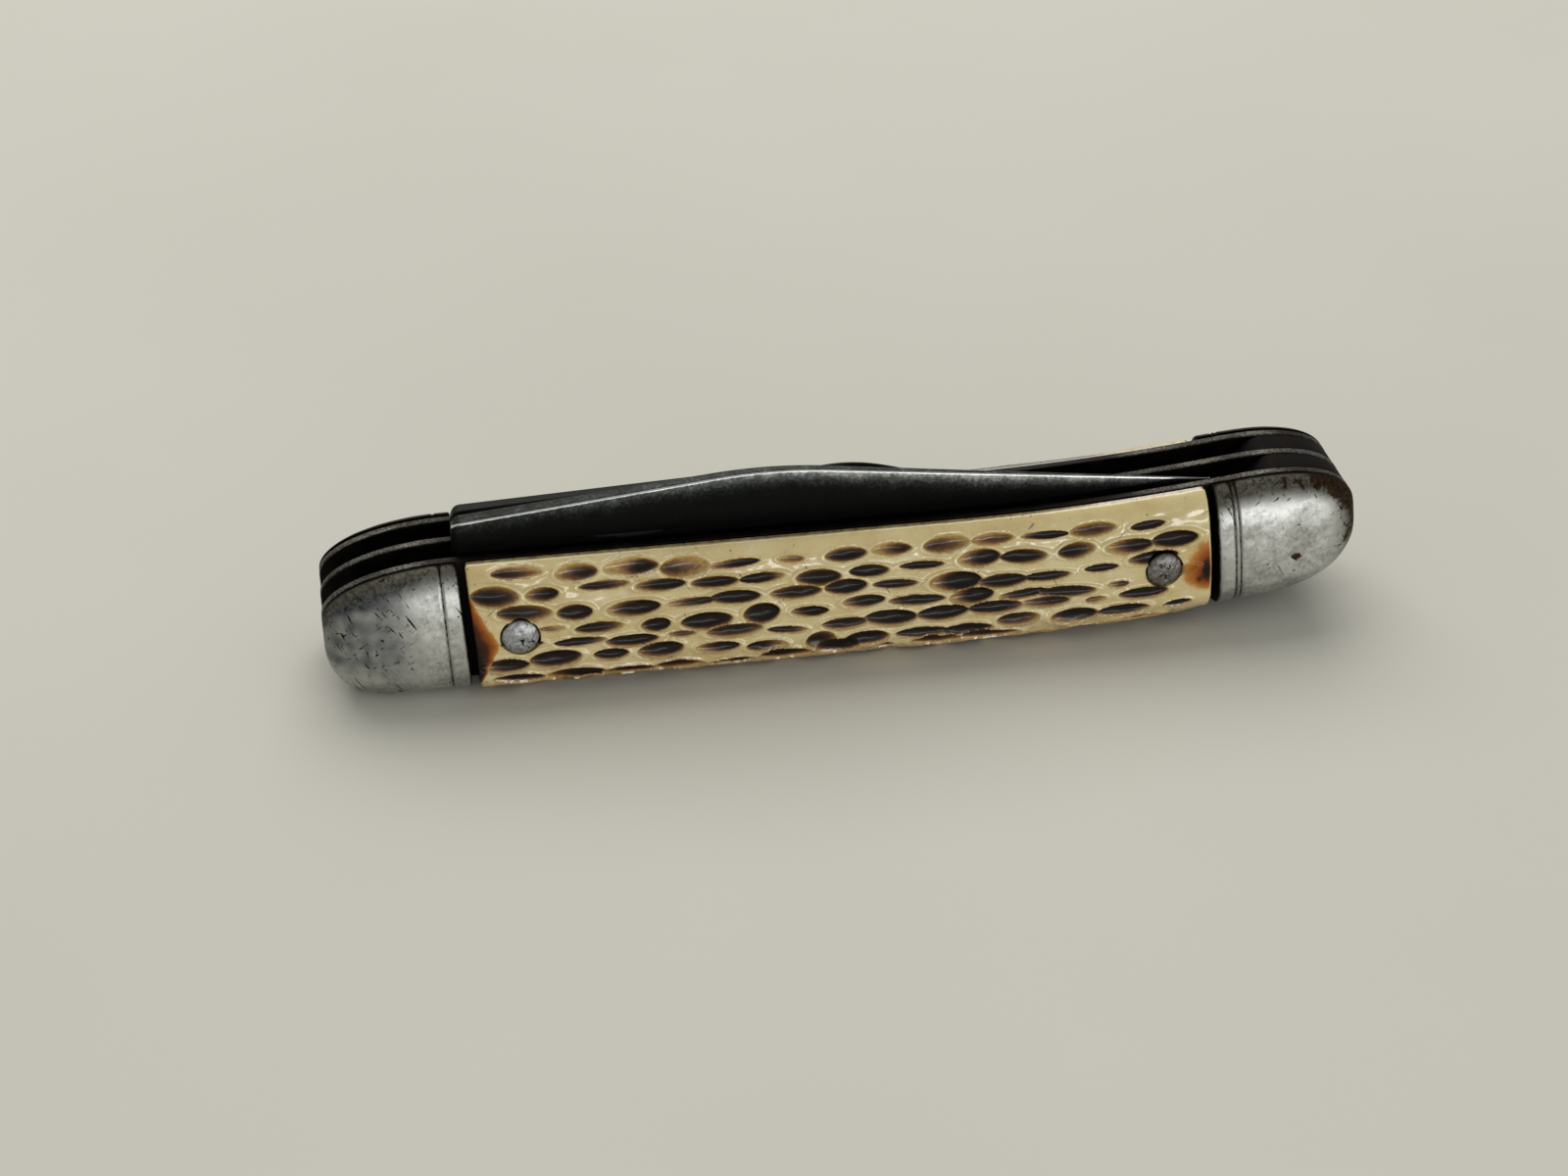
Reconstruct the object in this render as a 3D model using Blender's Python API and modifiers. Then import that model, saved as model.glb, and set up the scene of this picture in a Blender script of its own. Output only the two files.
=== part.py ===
"""Two-blade folding whittling knife, a serpentine slip-joint jack, modelled closed.

Both blades turn on one pivot pin at the -X end. Each lies in its own slot between liners,
and each has its own back spring, which presses on the blade's tang. Imitation-bone covers
are riveted to the outer liners between two pairs of pressed metal bolsters.

Frame: +X from the pivot end to the butt, +Y from the front cover to the rear one, +Z from
the back (the springs) to the slots. The knife stands on the straight part of its back.
Handle shapes are drawn on a straight handle, as a station along it and a height above its
back, and place() then sweeps the butt half upwards.
"""

import math

import bmesh
import bpy
from mathutils import Matrix, Vector

MM = 0.001

# Handle, measured along its swept axis
LENGTH = 86.6 * MM
HEIGHT = 11.7 * MM
STRAIGHT = 50.4 * MM  # from the pivot end to where the sweep starts
SWEEP_RADIUS = 200.0 * MM

# Rounded corners of the handle: reach along the handle, share of the height, roundness
PIVOT_SLOT_CORNER = (10.8 * MM, 0.39, 2.0)
PIVOT_BACK_CORNER = (4.6 * MM, 0.42, 2.2)
BUTT_SLOT_CORNER = (10.0 * MM, 0.43, 2.3)
BUTT_BACK_CORNER = (7.8 * MM, 0.50, 2.3)

# Layers across the knife
LINER = 0.65 * MM
SLOT = 2.15 * MM
SIDE_FIT = 0.05 * MM  # each side of a tang or spring in its slot
SEAT_GAP = 0.25 * MM  # between an outer liner and what is mounted on it
PIN_FIT = 0.03 * MM  # radial, a pin driven into a liner or spring
PIVOT_FIT = 0.05 * MM  # radial, a tang turning on the pivot pin

# Pins: radius, and centre as a distance from one end and a height above the back
PIVOT_RADIUS = 1.25 * MM
PIVOT_FROM_END = 6.25 * MM
PIVOT_HEIGHT = 6.2 * MM
SPRING_PIN_RADIUS = 0.8 * MM
SPRING_PIN_FROM_BUTT = 40.0 * MM
SPRING_PIN_HEIGHT = 1.65 * MM
BUTT_PIN_RADIUS = 1.0 * MM
BUTT_PIN_FROM_END = 4.6 * MM
BUTT_PIN_HEIGHT = 6.0 * MM
PIN_INSET = 0.04 * MM  # pin ends lie this far inside the liners' outer faces

# Covers and bolsters
PIVOT_BOLSTER = 10.9 * MM
BUTT_BOLSTER = 12.6 * MM
CREST_SHARE = 0.25  # the thickest line of covers and bolsters, as a share of the height from the back
BOLSTER_RISE = 2.75 * MM
BOLSTER_CAP = 8.2 * MM  # the length over which a bolster's end is rounded down
BOLSTER_POWER = 2.1  # roundness of the cross-section
GROOVE_FROM_EDGE = 1.5 * MM
GROOVE_WIDTH = 0.6 * MM
GROOVE_DEPTH = 0.22 * MM
COVER_GAP = 0.65 * MM  # between a cover's end and the bolster
COVER_RISE = 2.75 * MM
COVER_EDGE = 0.35 * MM  # thickness of the cover's upright edge
COVER_POWER = 2.0

# Cover rivets
RIVET_HEAD_RADIUS = 1.55 * MM
RIVET_HEAD_EDGE = 0.4 * MM
RIVET_HEAD_DOME = 0.55 * MM
RIVET_SEAT_DEPTH = 0.75 * MM  # the head's counterbore, below the crest of the cover
RIVET_SHANK_RADIUS = 0.8 * MM
RIVET_HEIGHT = 5.7 * MM
RIVET_FIT = 0.1 * MM
PIVOT_RIVET_FROM_COVER_END = 3.7 * MM
BUTT_RIVET_FROM_COVER_END = 4.3 * MM

# Tangs, measured from the pivot
TANG_HALF = 3.2 * MM  # to the flats that lie on the spring, open and closed
TANG_END = 3.6 * MM
TANG_ROUND = 2.0 * MM
TANG_CORNER = 0.3 * MM  # small rounding at the heel and at the front
KICK = 7.3 * MM  # the heel that rests on the spring when closed
KICK_STEP = (0.4 * MM, 0.8 * MM)  # steep start of the slope from the heel to the cutting edge
KICK_SLOPE = (1.3 * MM, 2.1 * MM)  # the whole slope
TANG_FRONT = 10.0 * MM  # where the thick tang ends and only the ground blade goes on

# Springs
SPRING_FIT = 0.05 * MM  # below the tang's flat
SPRING_BACK_INSET = 0.05 * MM
SPRING_HEAD_REACH = 9.2 * MM  # the head runs this far past the pivot
SPRING_WAIST = 2.3 * MM
SPRING_WAIST_FROM_PIVOT = 15.0 * MM
SPRING_PIN_LAND = 1.7 * MM  # metal above the spring pin's centre
SPRING_BUTT_WALL = 6.4 * MM  # solid length at the butt
SPRING_SHOULDER_HEIGHT = 5.4 * MM
SPRING_SHOULDER_FROM_WALL = 8.0 * MM

# Blades: heights are from the pivot. The point is placed by its distance from the butt end and its
# depth below the slot edge, and the spine's peak and the belly by their distance from the point.
BLADES = {
    "main_blade": {
        "side": -1,
        "shoulder": 4.4 * MM,
        "spine": 8.3 * MM,
        "peak": (37.5 * MM, 10.9 * MM),
        "peak_round": 40.0 * MM,
        "clip_bulge": 0.0,
        "point": (12.1 * MM, 0.75 * MM),
        "edge": -1.6 * MM,
        "belly": 30.6 * MM,
        "thickness": 1.5 * MM,
        "nick": (19.0 * MM, 6.5 * MM, 9.0 * MM),
    },
    "pen_blade": {
        "side": 1,
        "shoulder": 4.5 * MM,
        "spine": 7.3 * MM,
        "peak": (14.2 * MM, 8.85 * MM),
        "peak_round": 25.0 * MM,
        "clip_bulge": 1.1 * MM,
        "point": (31.65 * MM, 1.25 * MM),
        "edge": -0.6 * MM,
        "belly": 20.6 * MM,
        "thickness": 1.4 * MM,
        "nick": (17.0 * MM, 5.9 * MM, 8.0 * MM),
    },
}
BLADE_TIP_THICKNESS = 0.35 * MM
BLADE_EDGE_THICKNESS = 0.12 * MM
GRIND_LINE = 0.3  # share of the width that stays flat below the spine
GRIND_LINE_THINNING = 0.94
BELLY_POWER = 1.75  # roundness of the curve from the straight edge to the point
SHOULDER_ROUND = 0.7 * MM
NICK_DEPTH = 0.32 * MM
NICK_LEAN = math.radians(28)

# Derived places
PIVOT_END = -LENGTH / 2
BUTT_END = LENGTH / 2
SWEEP_START = PIVOT_END + STRAIGHT
HALF_STACK = (3 * LINER + 2 * SLOT) / 2
SLOT_CENTRE = (LINER + SLOT) / 2
PIVOT_STATION = PIVOT_END + PIVOT_FROM_END
COVER_START = PIVOT_END + PIVOT_BOLSTER + COVER_GAP
COVER_END = BUTT_END - BUTT_BOLSTER - COVER_GAP
OVERCUT = 1.0 * MM

MATERIALS = {
    "liner_steel": ((0.20, 0.19, 0.17), 0.45, 0.9),
    "spring_steel": ((0.16, 0.13, 0.10), 0.5, 0.85),
    "blade_steel": ((0.06, 0.06, 0.06), 0.35, 0.85),
    "bolster_metal": ((0.55, 0.55, 0.54), 0.28, 1.0),
    "imitation_bone": ((0.72, 0.62, 0.42), 0.4, 0.0),
    "rivet_metal": ((0.40, 0.40, 0.39), 0.4, 0.95),
}


# ---------------------------------------------------------------- scene and materials
def clear_scene():
    """Remove every object that the file opened with."""
    for thing in list(bpy.data.objects):
        bpy.data.objects.remove(thing, do_unlink=True)


def new_collection(name):
    """A collection linked to the scene."""
    collection = bpy.data.collections.new(name)
    bpy.context.scene.collection.children.link(collection)
    return collection


def make_material(name):
    """A Principled material with its colour, roughness and metallic value."""
    colour, roughness, metallic = MATERIALS[name]
    material = bpy.data.materials.new(name)
    material.use_nodes = True
    shader = material.node_tree.nodes["Principled BSDF"]
    shader.inputs["Base Color"].default_value = (*colour, 1.0)
    shader.inputs["Roughness"].default_value = roughness
    shader.inputs["Metallic"].default_value = metallic
    return material


# ---------------------------------------------------------------- shape of the handle
def sweep(station, height, across=0.0):
    """A point of the straight handle, carried onto the swept one."""
    past = station - SWEEP_START
    if past <= 0:
        return Vector((station, across, height))
    angle = past / SWEEP_RADIUS
    arm = SWEEP_RADIUS - (height - HEIGHT / 2)
    x = SWEEP_START + arm * math.sin(angle)
    z = HEIGHT / 2 + SWEEP_RADIUS - arm * math.cos(angle)
    return Vector((x, across, z))


def edge_drop(from_end, corner):
    """How far a rounded corner has brought an edge in, at a distance from the handle's end."""
    reach, share, power = corner
    past = 1 - from_end / reach
    if past <= 0:
        return 0.0
    return share * HEIGHT * (1 - (1 - min(past, 1.0) ** power) ** (1 / power))


def back_edge(station):
    """Height of the back edge of the handle."""
    return (edge_drop(station - PIVOT_END, PIVOT_BACK_CORNER)
            + edge_drop(BUTT_END - station, BUTT_BACK_CORNER))


def slot_edge(station):
    """Height of the slot edge of the handle."""
    return (HEIGHT - edge_drop(station - PIVOT_END, PIVOT_SLOT_CORNER)
            - edge_drop(BUTT_END - station, BUTT_SLOT_CORNER))


def stations(start, end, corner_in, corner_out, step=4.0 * MM, corner_steps=9):
    """Stations from start to end, close together where a corner is rounded."""
    marks = {start, end}
    count = max(1, round((end - start) / step))
    marks.update(start + (end - start) * i / count for i in range(count + 1))
    for i in range(corner_steps + 1):
        lean = 1 - math.sin(i / corner_steps * math.pi / 2)
        marks.add(PIVOT_END + corner_in[0] * lean)
        marks.add(BUTT_END - corner_out[0] * lean)
    kept = []
    for mark in sorted(marks):
        crowded = kept and mark - kept[-1] < 0.02 * MM
        if start <= mark <= end and not crowded:
            kept.append(mark)
    kept[-1] = end
    return kept


def handle_outline(inset=0.0):
    """The whole outline of the handle, as swept (x, z) points."""
    back = stations(PIVOT_END, BUTT_END, PIVOT_BACK_CORNER, BUTT_BACK_CORNER)
    slot = stations(PIVOT_END, BUTT_END, PIVOT_SLOT_CORNER, BUTT_SLOT_CORNER)
    points = [sweep(mark, back_edge(mark) + inset) for mark in back]
    points += [sweep(mark, slot_edge(mark) - inset) for mark in reversed(slot)]
    return [(point.x, point.z) for point in points]


def handle_middle():
    """X half-way between the two ends of the swept handle."""
    along = [x for x, _ in handle_outline()]
    return (min(along) + max(along)) / 2


MIDDLE = handle_middle()


def place(station, height, across=0.0):
    """A point of the handle in the frame of the part."""
    return sweep(station, height, across) - Vector((MIDDLE, 0, 0))


PIVOT = place(PIVOT_STATION, PIVOT_HEIGHT)
SPRING_PIN = place(BUTT_END - SPRING_PIN_FROM_BUTT, SPRING_PIN_HEIGHT)
BUTT_PIN = place(BUTT_END - BUTT_PIN_FROM_END, BUTT_PIN_HEIGHT)
RIVET_STATIONS = {
    "pivot": COVER_START + PIVOT_RIVET_FROM_COVER_END,
    "butt": COVER_END - BUTT_RIVET_FROM_COVER_END,
}


# ---------------------------------------------------------------- outline helpers
def circle(centre, radius, count=32):
    """A round outline about a centre, as (x, z) points."""
    turn = 2 * math.pi / count
    return [(centre[0] + radius * math.cos(i * turn), centre[1] + radius * math.sin(i * turn))
            for i in range(count)]


def rounded(corners, steps=5):
    """An outline through (x, z, radius) corners, each one rounded by its radius."""
    points = []
    for index, (x, z, radius) in enumerate(corners):
        corner = Vector((x, z))
        if radius <= 0:
            points.append((x, z))
            continue
        before = Vector(corners[index - 1][:2]) - corner
        after = Vector(corners[(index + 1) % len(corners)][:2]) - corner
        half = before.angle(after) / 2
        reach = min(radius / math.tan(half), 0.49 * before.length, 0.49 * after.length)
        radius = reach * math.tan(half)
        bisector = (before.normalized() + after.normalized()).normalized()
        centre = corner + bisector * radius / math.sin(half)
        start = corner + before.normalized() * reach - centre
        turn = start.angle_signed(corner + after.normalized() * reach - centre)
        for i in range(steps + 1):
            arm = Matrix.Rotation(-turn * i / steps, 2) @ start
            points.append(tuple(centre + arm))
    return points


# ---------------------------------------------------------------- solid helpers
def add_object(name, mesh, material, location=(0, 0, 0)):
    """An object for a finished mesh, in the knife's collection."""
    thing = bpy.data.objects.new(name, mesh)
    thing.location = location
    thing.data.materials.clear()
    thing.data.materials.append(material)
    KNIFE.objects.link(thing)
    return thing


def plate(name, outlines, thickness, across, material, location=(0, 0, 0)):
    """A flat plate in the XZ plane: the first outline is its edge and the others are holes."""
    curve = bpy.data.curves.new(name, "CURVE")
    curve.dimensions = "2D"
    curve.fill_mode = "BOTH"
    curve.extrude = thickness / 2
    for outline in outlines:
        spline = curve.splines.new("POLY")
        spline.points.add(len(outline) - 1)
        spline.use_cyclic_u = True
        for point, (x, z) in zip(spline.points, outline):
            point.co = (x, z, 0, 1)
    drawn = bpy.data.objects.new(name, curve)
    KNIFE.objects.link(drawn)
    bpy.context.view_layer.update()
    depsgraph = bpy.context.evaluated_depsgraph_get()
    mesh = bpy.data.meshes.new_from_object(drawn.evaluated_get(depsgraph))
    bpy.data.objects.remove(drawn, do_unlink=True)
    bpy.data.curves.remove(curve)
    mesh.name = name
    work = bmesh.new()
    work.from_mesh(mesh)
    bmesh.ops.remove_doubles(work, verts=work.verts, dist=0.0005 * MM)
    upright = Matrix.Translation((0, across, 0)) @ Matrix.Rotation(math.pi / 2, 4, "X")
    bmesh.ops.transform(work, matrix=upright, verts=work.verts)
    bmesh.ops.recalc_face_normals(work, faces=work.faces)
    work.to_mesh(mesh)
    work.free()
    return add_object(name, mesh, material, location)


def loft(name, rings, material, location=(0, 0, 0), apex=None):
    """A closed solid through rings of points, capped flat, or brought to an apex at its far end."""
    work = bmesh.new()
    loops = [[work.verts.new(point) for point in ring] for ring in rings]
    count = len(rings[0])
    for near, far in zip(loops, loops[1:]):
        for i in range(count):
            j = (i + 1) % count
            work.faces.new((near[i], near[j], far[j], far[i]))
    work.faces.new(loops[0])
    if apex is None:
        work.faces.new(loops[-1])
    else:
        point = work.verts.new(apex)
        for i in range(count):
            work.faces.new((loops[-1][i], loops[-1][(i + 1) % count], point))
    bmesh.ops.recalc_face_normals(work, faces=work.faces)
    mesh = bpy.data.meshes.new(name)
    work.to_mesh(mesh)
    work.free()
    return add_object(name, mesh, material, location)


def smooth(thing, degrees=30):
    """Smooth shading with sharp edges kept."""
    thing.data.shade_smooth()
    thing.data.set_sharp_from_angle(angle=math.radians(degrees))


def rod(name, centre, radius, length, material, across=0.0, cutter=False):
    """A round bar along Y."""
    bpy.ops.mesh.primitive_cylinder_add(vertices=32, radius=radius, depth=length)
    bar = bpy.context.object
    bar.name = name
    bar.rotation_euler = (math.pi / 2, 0, 0)
    bar.location = (centre[0], across, centre[2])
    if cutter:
        keep_cutter(bar)
        return bar
    for collection in list(bar.users_collection):
        collection.objects.unlink(bar)
    bar.data.materials.append(material)
    smooth(bar)
    KNIFE.objects.link(bar)
    return bar


def keep_cutter(cutter):
    """Move a cutter into its own collection, drawn as wire and never rendered."""
    for collection in list(cutter.users_collection):
        collection.objects.unlink(cutter)
    cutter.hide_render = True
    cutter.display_type = "WIRE"
    CUTTERS.objects.link(cutter)


def cut(thing, cutter):
    """Take a cutter out of a solid."""
    boolean = thing.modifiers.new(cutter.name, "BOOLEAN")
    boolean.operation = "DIFFERENCE"
    boolean.solver = "EXACT"
    boolean.object = cutter


def join(thing, other):
    """Join a second solid onto the first one, and remove it."""
    boolean = thing.modifiers.new("join", "BOOLEAN")
    boolean.operation = "UNION"
    boolean.solver = "EXACT"
    boolean.object = other
    bpy.context.view_layer.update()
    depsgraph = bpy.context.evaluated_depsgraph_get()
    joined = bpy.data.meshes.new_from_object(thing.evaluated_get(depsgraph))
    thing.modifiers.clear()
    thing.data = joined
    bpy.data.objects.remove(other, do_unlink=True)


# ---------------------------------------------------------------- liners, springs and pins
def build_liners(material):
    """Three flat liners of one outline; the outer two also take the cover rivets."""
    pins = [
        circle((PIVOT.x, PIVOT.z), PIVOT_RADIUS + PIN_FIT),
        circle((SPRING_PIN.x, SPRING_PIN.z), SPRING_PIN_RADIUS + PIN_FIT),
        circle((BUTT_PIN.x, BUTT_PIN.z), BUTT_PIN_RADIUS + PIN_FIT),
    ]
    rivets = []
    for station in RIVET_STATIONS.values():
        centre = place(station, RIVET_HEIGHT)
        rivets.append(circle((centre.x, centre.z), RIVET_SHANK_RADIUS + PIN_FIT, 24))
    edge = [(x - MIDDLE, z) for x, z in handle_outline()]
    outer = HALF_STACK - LINER / 2
    plate("front_liner", [edge] + pins + rivets, LINER, -outer, material)
    plate("centre_liner", [edge] + pins, LINER, 0, material)
    plate("rear_liner", [edge] + pins + rivets, LINER, outer, material)


def spring_outline(shoulder):
    """A back spring: head under the tang, slim waist, pin land, and a solid butt end."""
    head = PIVOT_HEIGHT - TANG_HALF - SPRING_FIT
    start = PIVOT_STATION - shoulder + SPRING_FIT
    wall = BUTT_END - SPRING_BUTT_WALL
    pin_station = BUTT_END - SPRING_PIN_FROM_BUTT
    land = SPRING_PIN_HEIGHT + SPRING_PIN_LAND
    back = stations(start, BUTT_END, PIVOT_BACK_CORNER, BUTT_BACK_CORNER)
    slot = stations(wall, BUTT_END, PIVOT_SLOT_CORNER, BUTT_SLOT_CORNER)
    points = [(mark, back_edge(mark) + SPRING_BACK_INSET) for mark in back]
    points += [(mark, slot_edge(mark) - SPRING_BACK_INSET) for mark in reversed(slot)]
    shoulder_station = wall - SPRING_SHOULDER_FROM_WALL
    inner = [
        (wall, slot_edge(wall) - SPRING_BACK_INSET),
        (shoulder_station, SPRING_SHOULDER_HEIGHT),
        (pin_station, land),
        (PIVOT_STATION + SPRING_WAIST_FROM_PIVOT, SPRING_WAIST),
        (PIVOT_STATION + SPRING_HEAD_REACH, head),
    ]
    points += smooth_run(inner)
    points.append((start, head))
    swept = [place(station, height) for station, height in points]
    return [(point.x, point.z) for point in swept]


def smooth_run(knots, steps=5):
    """Points between knots on an easing curve that is level at each inner knot."""
    run = []
    for (x0, z0), (x1, z1) in zip(knots, knots[1:]):
        for i in range(1, steps + 1):
            t = i / steps
            ease = t * t * (3 - 2 * t)
            run.append((x0 + (x1 - x0) * t, z0 + (z1 - z0) * ease))
    return run


def build_springs(material):
    """One back spring in each slot, under its blade."""
    for name, blade in (("main_spring", "main_blade"), ("pen_spring", "pen_blade")):
        holes = [
            circle((SPRING_PIN.x, SPRING_PIN.z), SPRING_PIN_RADIUS + PIN_FIT),
            circle((BUTT_PIN.x, BUTT_PIN.z), BUTT_PIN_RADIUS + PIN_FIT),
        ]
        outline = spring_outline(BLADES[blade]["shoulder"])
        across = BLADES[blade]["side"] * SLOT_CENTRE
        plate(name, [outline] + holes, SLOT - 2 * SIDE_FIT, across, material)


def build_pins(material):
    """Pins through the whole stack, ending flush under the bolsters and covers."""
    length = 2 * (HALF_STACK - PIN_INSET)
    rod("pivot_pin", PIVOT, PIVOT_RADIUS, length, material)
    rod("spring_pin", SPRING_PIN, SPRING_PIN_RADIUS, length, material)
    rod("butt_pin", BUTT_PIN, BUTT_PIN_RADIUS, length, material)


# ---------------------------------------------------------------- blades
def blade_tip(blade):
    """The point of a closed blade, as x and z from the pivot."""
    from_butt, depth = blade["point"]
    station = BUTT_END - from_butt
    tip = place(station, slot_edge(station) - depth) - PIVOT
    return tip.x, tip.z


def spine_height(blade, x):
    """Spine of a blade: straight up to a rounded peak, then down to the point."""
    tip_x, tip_z = blade_tip(blade)
    before_point, peak_z = blade["peak"]
    peak_x = tip_x - before_point
    rise = (peak_z - blade["spine"]) / (peak_x - blade["shoulder"])
    fall = (peak_z - tip_z) / (tip_x - peak_x)
    radius = blade["peak_round"]
    reach = radius * (rise + fall) / 2
    if x <= peak_x - reach:
        line = peak_z - rise * (peak_x - x)
    elif x >= peak_x + reach:
        line = peak_z - fall * (x - peak_x)
    else:
        along = x - (peak_x - reach)
        line = peak_z - rise * reach + rise * along - along * along / (2 * radius)
    share = max(0.0, (x - peak_x) / (tip_x - peak_x))
    return line + 4 * blade["clip_bulge"] * share * (1 - share)


def edge_height(blade, x):
    """Cutting edge of a blade: straight, then a belly that curves up to the point."""
    tip_x, tip_z = blade_tip(blade)
    start = tip_x - blade["belly"]
    if x <= start:
        return blade["edge"]
    share = min(1.0, (x - start) / (tip_x - start))
    return blade["edge"] + (tip_z - blade["edge"]) * (1 - (1 - share ** BELLY_POWER) ** (1 / BELLY_POWER))


def blade_sections(blade):
    """Cross-sections of the ground blade, from its shoulder to just short of the point."""
    start = blade["shoulder"]
    tip_x, _ = blade_tip(blade)
    marks = [start, start + SHOULDER_ROUND * 0.3, start + SHOULDER_ROUND]
    count = 26
    for i in range(1, count):
        marks.append(start + (tip_x - start) * math.sin(i / count * math.pi / 2))
    sections = []
    for x in marks:
        top = spine_height(blade, x)
        short = max(0.0, 1 - (x - start) / SHOULDER_ROUND)
        top -= SHOULDER_ROUND * (1 - math.sqrt(max(0.0, 1 - short * short)))
        low = edge_height(blade, x)
        share = (x - start) / (tip_x - start)
        spine = (blade["thickness"] * (1 - share) + BLADE_TIP_THICKNESS * share) / 2
        edge = BLADE_EDGE_THICKNESS / 2
        grind_z = top - (top - low) * GRIND_LINE
        grind = spine * GRIND_LINE_THINNING
        half = [(spine, top), (grind, grind_z), (edge, low)]
        ring = [Vector((x, y, z)) for y, z in half]
        ring += [Vector((x, -y, z)) for y, z in reversed(half)]
        sections.append(ring)
    return sections


def tang_outline():
    """The thick tang: flats for the spring, a rounded end, and the kick in front of the edge."""
    return rounded([
        (-TANG_END, -TANG_HALF, TANG_ROUND),
        (KICK, -TANG_HALF, TANG_CORNER),
        (KICK + KICK_STEP[0], -TANG_HALF + KICK_STEP[1], 0.0),
        (KICK + KICK_SLOPE[0], -TANG_HALF + KICK_SLOPE[1], TANG_CORNER),
        (TANG_FRONT, TANG_HALF - TANG_ROUND, 0.0),
        (TANG_FRONT, TANG_HALF, TANG_CORNER),
        (-TANG_END, TANG_HALF, TANG_ROUND),
    ])


def build_blade(name, material):
    """A blade with its tang, pivot hole and nail nick; its origin is on the pivot."""
    blade = BLADES[name]
    across = blade["side"] * SLOT_CENTRE
    origin = (PIVOT.x, across, PIVOT.z)
    hole = circle((0, 0), PIVOT_RADIUS + PIVOT_FIT)
    thing = plate(name, [tang_outline(), hole], SLOT - 2 * SIDE_FIT, 0, material, origin)
    tip_x, tip_z = blade_tip(blade)
    sections = blade_sections(blade)
    ground = loft(name + "_ground", sections, material, origin, apex=Vector((tip_x, 0, tip_z)))
    join(thing, ground)
    cut(thing, nick_cutter(name, blade, origin))
    thing.data.materials.clear()
    thing.data.materials.append(material)


def nick_cutter(name, blade, origin):
    """A wide thin disc whose rim dips into the blade: steep towards the spine, shallow below."""
    x, z, length = blade["nick"]
    side = blade["side"]
    tip_x, _ = blade_tip(blade)
    share = (x - blade["shoulder"]) / (tip_x - blade["shoulder"])
    face = (blade["thickness"] * (1 - share) + BLADE_TIP_THICKNESS * share) / 2
    dip = NICK_DEPTH / math.cos(NICK_LEAN)
    radius = (length * length / 4 + dip * dip) / (2 * dip)
    bpy.ops.mesh.primitive_cylinder_add(vertices=128, radius=radius, depth=OVERCUT)
    cutter = bpy.context.object
    cutter.name = name + "_nick"
    axis = Vector((0, -side * math.sin(NICK_LEAN), math.cos(NICK_LEAN)))
    outward = Vector((0, side * math.cos(NICK_LEAN), math.sin(NICK_LEAN)))
    dipped = Vector((x, side * face, z)) + outward * (radius - dip) - axis * OVERCUT / 2
    cutter.location = Vector(origin) + dipped
    cutter.rotation_euler = (side * NICK_LEAN, 0, 0)
    keep_cutter(cutter)
    return cutter


# ---------------------------------------------------------------- bolsters and covers
def dome_ring(station, low, high, rise, base, side, power, wall=0.0, steps=16):
    """A cross-section: flat on the liner, upright walls, and a rounded outer face."""
    crest = low + (high - low) * CREST_SHARE
    ring = [place(station, high, side * base)]
    for i in range(steps + 1):
        angle = math.pi * i / steps
        lean = abs(math.cos(angle)) ** (2 / power)
        lift = math.sin(angle) ** (2 / power)
        reach = high if angle < math.pi / 2 else low
        height = crest + (reach - crest) * lean
        ring.append(place(station, height, side * (base + wall + (rise - wall) * lift)))
    ring.append(place(station, low, side * base))
    if wall <= 0:
        ring = ring[1:-1]
    return ring


def build_bolster(name, at_pivot, side, material):
    """A pressed bolster: a domed cap with a bullet end and one groove near its inner edge."""
    end = PIVOT_END if at_pivot else BUTT_END
    inward = 1 if at_pivot else -1
    length = PIVOT_BOLSTER if at_pivot else BUTT_BOLSTER
    base = HALF_STACK + SEAT_GAP
    groove = [GROOVE_FROM_EDGE + share * GROOVE_WIDTH / 2 for share in (-1, -0.45, 0.45, 1)]
    marks = [length, length - groove[0], length - groove[1], length - groove[2], length - groove[3]]
    marks += [BOLSTER_CAP * (1 - math.sin(i / 10 * math.pi / 2)) for i in range(10)]
    rings = []
    for index, from_end in enumerate(marks):
        station = end + inward * from_end
        past = max(0.0, 1 - from_end / BOLSTER_CAP)
        rise = BOLSTER_RISE * (1 - past ** BOLSTER_POWER) ** (1 / BOLSTER_POWER)
        sunk = GROOVE_DEPTH if index in (2, 3) else 0.0
        low = back_edge(station) + sunk
        high = slot_edge(station) - sunk
        rings.append(dome_ring(station, low, high, rise - sunk, base, side, BOLSTER_POWER))
    tip_height = back_edge(end) + (slot_edge(end) - back_edge(end)) * CREST_SHARE
    apex = place(end, tip_height, side * base)
    thing = loft(name, rings, material, apex=apex)
    smooth(thing)
    return thing


def build_cover(name, side, material):
    """A domed cover between the bolsters, with a counterbored hole for each rivet."""
    base = HALF_STACK + SEAT_GAP
    count = 16
    rings = []
    for i in range(count + 1):
        station = COVER_START + (COVER_END - COVER_START) * i / count
        section = (COVER_RISE, base, side, COVER_POWER, COVER_EDGE)
        rings.append(dome_ring(station, 0.0, HEIGHT, *section))
    thing = loft(name, rings, material)
    smooth(thing)
    crest = base + COVER_RISE
    for key, station in RIVET_STATIONS.items():
        centre = place(station, RIVET_HEIGHT)
        seat = side * (crest + OVERCUT - RIVET_SEAT_DEPTH)
        label = f"{name}_{key}"
        hollow = RIVET_HEAD_RADIUS + RIVET_FIT
        cut(thing, rod(label + "_seat", centre, hollow, 2 * OVERCUT, None, seat, True))
        bore = RIVET_SHANK_RADIUS + RIVET_FIT
        cut(thing, rod(label + "_bore", centre, bore, 2 * crest, None, side * crest, True))
    return thing


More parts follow.
